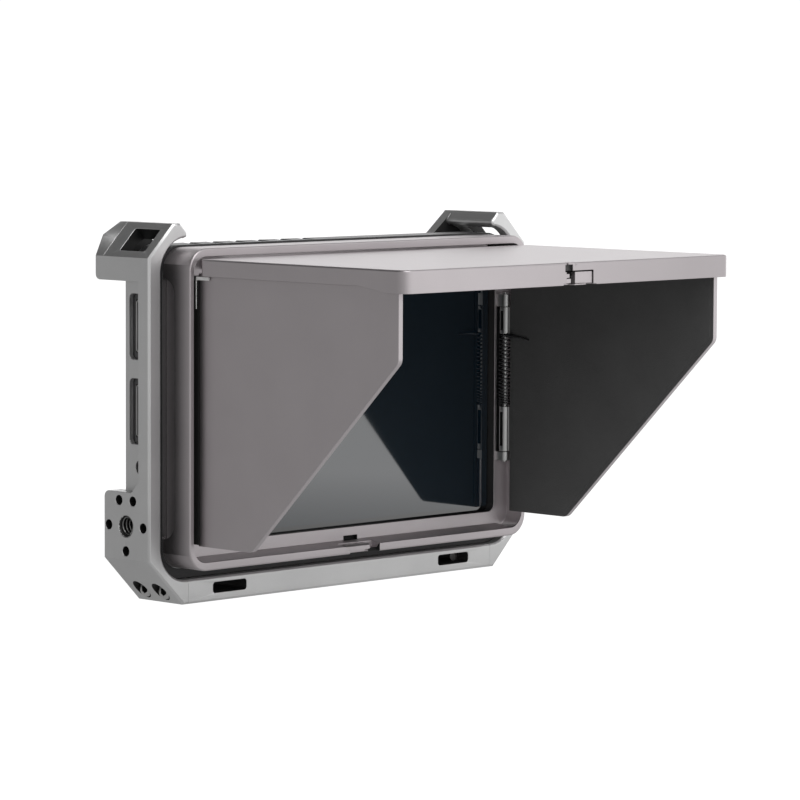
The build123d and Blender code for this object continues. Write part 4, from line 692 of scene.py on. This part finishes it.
dressed("release_spring", spring_wire)


# Sun hood frame. Folded and welded aluminium in warm grey paint, near black round the screen, with bare
# steel hinge carriers behind hollows painted black as shade.
def grey_paint(name):
    """The warm grey paint of the hood's frame, panels and lid."""
    return finish(name, (0.490, 0.456, 0.468), (0.530, 0.494, 0.506), metallic=0.9, roughness=0.42,
                  spread=0.08, bump=0.010)


hood_paint = grey_paint("hood_paint")
hood_edge = finish("hood_edge", (0.60, 0.565, 0.58), (0.70, 0.665, 0.68), metallic=0.95,
                   roughness=0.34, spread=0.08, bump=0.006)
# Near-black painted shade for hollows, slots, notches and gaps.
painted_shade_black = finish("painted_shade_black", (0.010, 0.010, 0.010), (0.018, 0.018, 0.018), roughness=0.7,
                    grain=5000.0, bump=0.03, specular=0.2)
reveal_black = finish("reveal_black", (0.045, 0.044, 0.045), (0.065, 0.063, 0.064), metallic=0.5,
                      roughness=0.42)
hinge_steel = finish("hinge_steel", (0.44, 0.44, 0.435), (0.54, 0.54, 0.535), metallic=1.0,
                     roughness=0.34, bump=0.006)


def shaded(material, axis, dark_end, full_end, depth):
    """Paints shade into a material's colour: it darkens towards one coordinate, in mm along an axis."""
    tree = material.node_tree
    surface = tree.nodes["Principled BSDF"]
    colour = surface.inputs["Base Color"].links[0].from_socket
    spot = wired(tree, "ShaderNodeSeparateXYZ", {}, {0: spot_on(tree)})
    share = mapped(tree, spot.outputs[axis], (dark_end * MM, full_end * MM), (depth, 1.0), True)
    dimmed = wired(tree, "ShaderNodeMix", {"data_type": "RGBA", "blend_type": "MULTIPLY"}, {
        0: 1.0, 6: colour, 7: share})
    tree.links.new(dimmed.outputs[2], surface.inputs["Base Color"])
    return material


# The frame's left outer side takes this paint, darkened towards the back: painted shade.
side_shaded_paint = shaded(grey_paint("hood_side_painted_shade"), "Y", -11.0, -18.5, 0.42)
hinge_x, hinge_y, hinge_reach = 63.6, {-1: -15.3, 1: -13.2}, 1.75
sheet_break = 0.12
hollow_x, hollow_half, hollow_low, hollow_high = 63.85, 1.7, 35.4, 78.7


def near_hinge(place):
    axis_y = hinge_y[1 if place.x > 0 else -1]
    return abs(abs(place.x) - hinge_x) < 1.9 and abs(place.y - axis_y) < hinge_reach


hood_body = solid_copy("hood_body", "hood_frame")
combined(hood_body, [box_shape("hinge_hollow", (side * hollow_x - hollow_half, -11.5, hollow_low),
                               (side * hollow_x + hollow_half, -9.4, hollow_high))
                     for side, name in sides] + [
    box_shape("lip_notch", (2.3, -17.6, 10.0), (6.4, -16.0, 12.8))], "DIFFERENCE")
softened(hood_body, sheet_break, (
    hood_paint, hood_edge, painted_shade_black, hinge_steel, reveal_black, side_shaded_paint))
refaced(hood_body, side_shaded_paint, lambda place, normal: normal.x < -0.9 and place.x < -68.3)
window_corners = (-61.3, -11.12, 17.0), (61.3, -6.25, 88.8)
refaced(hood_body, reveal_black, lambda place, normal: within(place, *window_corners))
# The hinge hollows take painted shade.
refaced(hood_body, painted_shade_black, lambda place, normal: within(
    (abs(place.x), place.y, place.z), (61.3, -11.29, hollow_low - 0.1), (65.9, 0, hollow_high + 0.1)))
refaced(hood_body, hinge_steel, lambda place, normal: near_hinge(place) and place.y < -11.35)
latch_slot = (-2.6, -11.25, 13.1), (3.2, -8, 14.8)
lip_notch = (2.2, -17.3, 9.9), (6.5, -15.9, 12.9)
# The latch slot and the lip notch take painted shade.
refaced(hood_body, painted_shade_black, lambda place, normal: (
    within(place, *latch_slot) or within(place, *lip_notch)))
fitted(hood_body, "chassis", "hood", "hood_frame")
dressed("latch_keeper", hood_paint)
dressed("hood_gasket", pad_rubber)
magnet_nickel = finish("magnet_nickel", (0.60, 0.59, 0.57), (0.70, 0.69, 0.67), metallic=1.0,
                       roughness=0.2)
dressed("hood_magnets", magnet_nickel)
for name in ("left_hinge_pin", "right_hinge_pin", "lid_hinge_pins"):
    dressed(name, hinge_steel)

# Hinge springs. Dark spring wire is wound round each hinge pin, and its upper
# end runs out as a leg that presses on the panel.
coil_radii, coil_wire, leg_wire = {-1: 1.42, 1: 1.66}, 0.27, 0.36
coil_foot, coil_length, coil_turns = 49.2, 21.1, 20.0
leg_points = ((62.95, -0.2, 70.25, 1.1), (62.8, -1.6, 70.25, 1.9), (62.78, -3.2, 70.2, 1.8),
              (62.9, -5.4, 70.05, 0.9), (62.98, -8.0, 69.8, 0.75), (63.02, -10.2, 69.35, 0.7))
for side, name in sides:
    axis_y = hinge_y[side]
    coil = grown(f"{name}_hinge_coil", wound_wire, {
        "Coil Radius": coil_radii[side] * MM, "Wire Radius": coil_wire * MM,
        "Length": coil_length * MM, "Turns": coil_turns, "Uneven": 1.0, "Sides": 10, "Steps": 28,
        "Finish": spring_wire})
    stood(coil, (side * hinge_x, axis_y, coil_foot), (0, 0, 1))
    fitted(coil, "chassis", "spring_steel", f"{name}_panel_spring")
    leg_line = bpy.data.curves.new(f"{name}_spring_leg", "CURVE")
    leg_line.dimensions = "3D"
    leg_line.bevel_depth = leg_wire * MM
    leg_line.bevel_resolution = 4
    leg_line.use_fill_caps = True
    run = leg_line.splines.new("NURBS")
    run.points.add(len(leg_points) - 1)
    for point, (x, y, z, thick) in zip(run.points, leg_points):
        point.co = (side * x * MM, (axis_y + y) * MM, z * MM, 1)
        point.radius = thick
    run.order_u = 3
    run.use_endpoint_u = True
    leg = bpy.data.objects.new(f"{name}_spring_leg", leg_line)
    bpy.context.collection.objects.link(leg)
    leg_mesh = bpy.data.meshes.new_from_object(
        leg.evaluated_get(bpy.context.evaluated_depsgraph_get()))
    bpy.data.objects.remove(leg)
    leg = bpy.data.objects.new(f"{name}_spring_leg", leg_mesh)
    bpy.context.collection.objects.link(leg)
    leg_mesh.materials.append(spring_wire)
    fitted(leg, f"{name}_leaf", "spring_steel", f"{name}_spring_arm")

# Side panels. Flat aluminium leaves in the hood's paint, lined inside with matt
# black flock, whose rear edges are rolled into hinge knuckles with a slot.
flock = finish("black_flock", (0.100, 0.100, 0.100), (0.124, 0.124, 0.124), roughness=0.95,
               grain=6000.0, bump=0.12, specular=0.15)
# The leaves' paint darkens towards the hinge edge: painted shade.
leaf_paint_hinge_shade = shaded(grey_paint("leaf_paint_hinge_shade"), "Y", -16.9, -20.5, 0.45)
leaf_inside, knuckle_reach, slot_half, slot_spans = 63.5, 1.45, 0.62, ((37.0, 47.2), (71.9, 77.6))
for side, name in sides:
    axis_y = hinge_y[side]
    leaf = solid_copy(f"{name}_leaf_panel", f"{name}_panel")
    combined(leaf, [box_shape("knuckle_slot", (side * (hinge_x - 1.75), axis_y - slot_half, low),
                              (side * (hinge_x - 0.85), axis_y + slot_half, high))
                    for low, high in slot_spans], "DIFFERENCE")
    softened(leaf, sheet_break, (leaf_paint_hinge_shade, hood_edge, painted_shade_black, hinge_steel, flock))
    refaced(leaf, flock, lambda place, normal: (
        abs(place.x) < leaf_inside and side * normal.x < -0.9))
    refaced(leaf, hinge_steel, lambda place, normal: near_hinge(place))
    # The knuckle slots take painted shade.
    refaced(leaf, painted_shade_black, lambda place, normal: near_hinge(place) and math.hypot(
        abs(place.x) - hinge_x, place.y - axis_y) < knuckle_reach
        and abs(place.y - axis_y) < slot_half + 0.04)
    fitted(leaf, f"{name}_leaf", "hood", f"{name}_panel")
    dressed(f"{name}_panel_lining", flock)

# Hinge shade and glint. A black strip in the gap behind the left panel and black sheets at the frame's
# upper corners are painted shade, and a white strip at the left panel's top rear corner is a painted
# highlight.
# Painted shade: a black strip in the gap behind the left panel's hinge.
gap_shade_strip = softened(box_shape("hinge_gap_shade_strip", (-65.5, -17.7, 17.8), (-65.2, -15.2, 91.4)),
                       0.08, (painted_shade_black, painted_shade_black))
fitted(gap_shade_strip, "left_leaf", "lining")
# Painted shade: black sheets at the frame's upper corners.
shade_sheet_front, shade_sheet_back, shade_sheet_tops = -11.65, -11.35, {-1: 92.4, 1: 97.8}
for side, name in sides:
    top = shade_sheet_tops[side]
    corner_shade = combined(box_shape(f"{name}_corner_shade_sheet", (side * 64.5 - 2.3, shade_sheet_front, 84.0),
                              (side * 64.5 + 2.3, shade_sheet_back, top)), [
        box_shape("shade_sheet_arm", (side * 61.2 - 3.4, shade_sheet_front, 89.4),
                  (side * 61.2 + 3.4, shade_sheet_back, top))], "UNION")
    fitted(softened(corner_shade, 0.08, (painted_shade_black, painted_shade_black)), "chassis", "lining")
# Painted highlight: a white strip at the left panel's top rear corner.
glint_white = finish("glint_white", (0.84, 0.84, 0.83), (0.92, 0.92, 0.91), roughness=0.4)
corner_glint = combined(box_shape("corner_glint", (-65.75, -21.9, 91.6), (-65.25, -16.8, 92.55)), [
    box_shape("glint_leg", (-65.75, -16.95, 83.6), (-65.52, -16.7, 91.8))], "UNION")
fitted(softened(corner_glint, 0.06, (glint_white, glint_white)), "left_leaf", "lining")

# Lid. One folded tray in the hood's paint, lined underneath with matt black
# flock, with a sliding catch in its front wall.
lid_tray = combined(solid_copy("lid_tray", "hood_lid"), [
    box_shape("pocket_end", (7.75, -98.6, 91.4), (11.4, -98.35, 95.4)),
    box_shape("edge_fill", (-2.6, -98.6, 95.9), (0.4, -97.8, 97.45))], "UNION")
combined(lid_tray, [box_shape("finger_notch", (-3.76, -99, 94.9), (-0.74, -97.8, 96.9)),
                    box_shape("lower_notch", (-4.4, -99, 91.0), (-0.9, -96.9, 91.75)),
                    box_shape("right_notch", (4.64, -99, 91.0), (7.7, -96.9, 91.75))], "DIFFERENCE")
# The front wall's paint darkens towards the right: painted shade.
lid_front_shaded = shaded(grey_paint("lid_front_painted_shade"), "X", 75, -45, 0.8)
softened(lid_tray, sheet_break, (hood_paint, hood_paint, painted_shade_black, reveal_black, lid_front_shaded))
catch_pocket = (-3.25, -98.28, 91.55), (11.25, -94, 95.25)
notch_pocket = (-3.9, -98.5, 94.8), (-0.6, -97.0, 97.0)
refaced(lid_tray, lid_front_shaded, lambda place, normal: normal.y < -0.9 and place.y < -98.4)
# The catch pocket takes painted shade, and the finger notch takes the near-black reveal finish as
# painted shade.
refaced(lid_tray, painted_shade_black, lambda place, normal: within(place, *catch_pocket))
refaced(lid_tray, reveal_black, lambda place, normal: within(place, *notch_pocket))
fitted(lid_tray, "lid", "hood", "hood_lid")
dressed("lid_lining", flock)

# Lid catch. A painted slider with a plain thumb plate, and a small stepped flap
# at its left end that a thin set-back web joins to it.
slider = combined(solid_copy("catch_slider", "lid_catch"), [
    box_shape("old_front", (-4, -99, 91), (8.5, -96.29, 96))], "DIFFERENCE")
combined(slider, [box_shape("thumb_plate", (0.6, -98.2, 91.64), (7.65, -96.25, 94.85)),
                  box_shape("flap", (-3.0, -98.1, 91.8), (-1.0, -96.3, 93.0)),
                  box_shape("flap_step", (-3.0, -97.6, 93.2), (-1.0, -96.3, 94.3)),
                  box_shape("web", (-2.8, -96.7, 92.0), (1.0, -96.4, 94.1))], "UNION")
softened(slider, 0.08, (hood_paint, hood_edge, painted_shade_black))
# The set-back web takes painted shade.
refaced(slider, painted_shade_black, lambda place, normal: -1.05 < place.x < 0.55 and -96.75 < place.y < -96.3)
fitted(slider, "catch", "catch", "lid_catch")
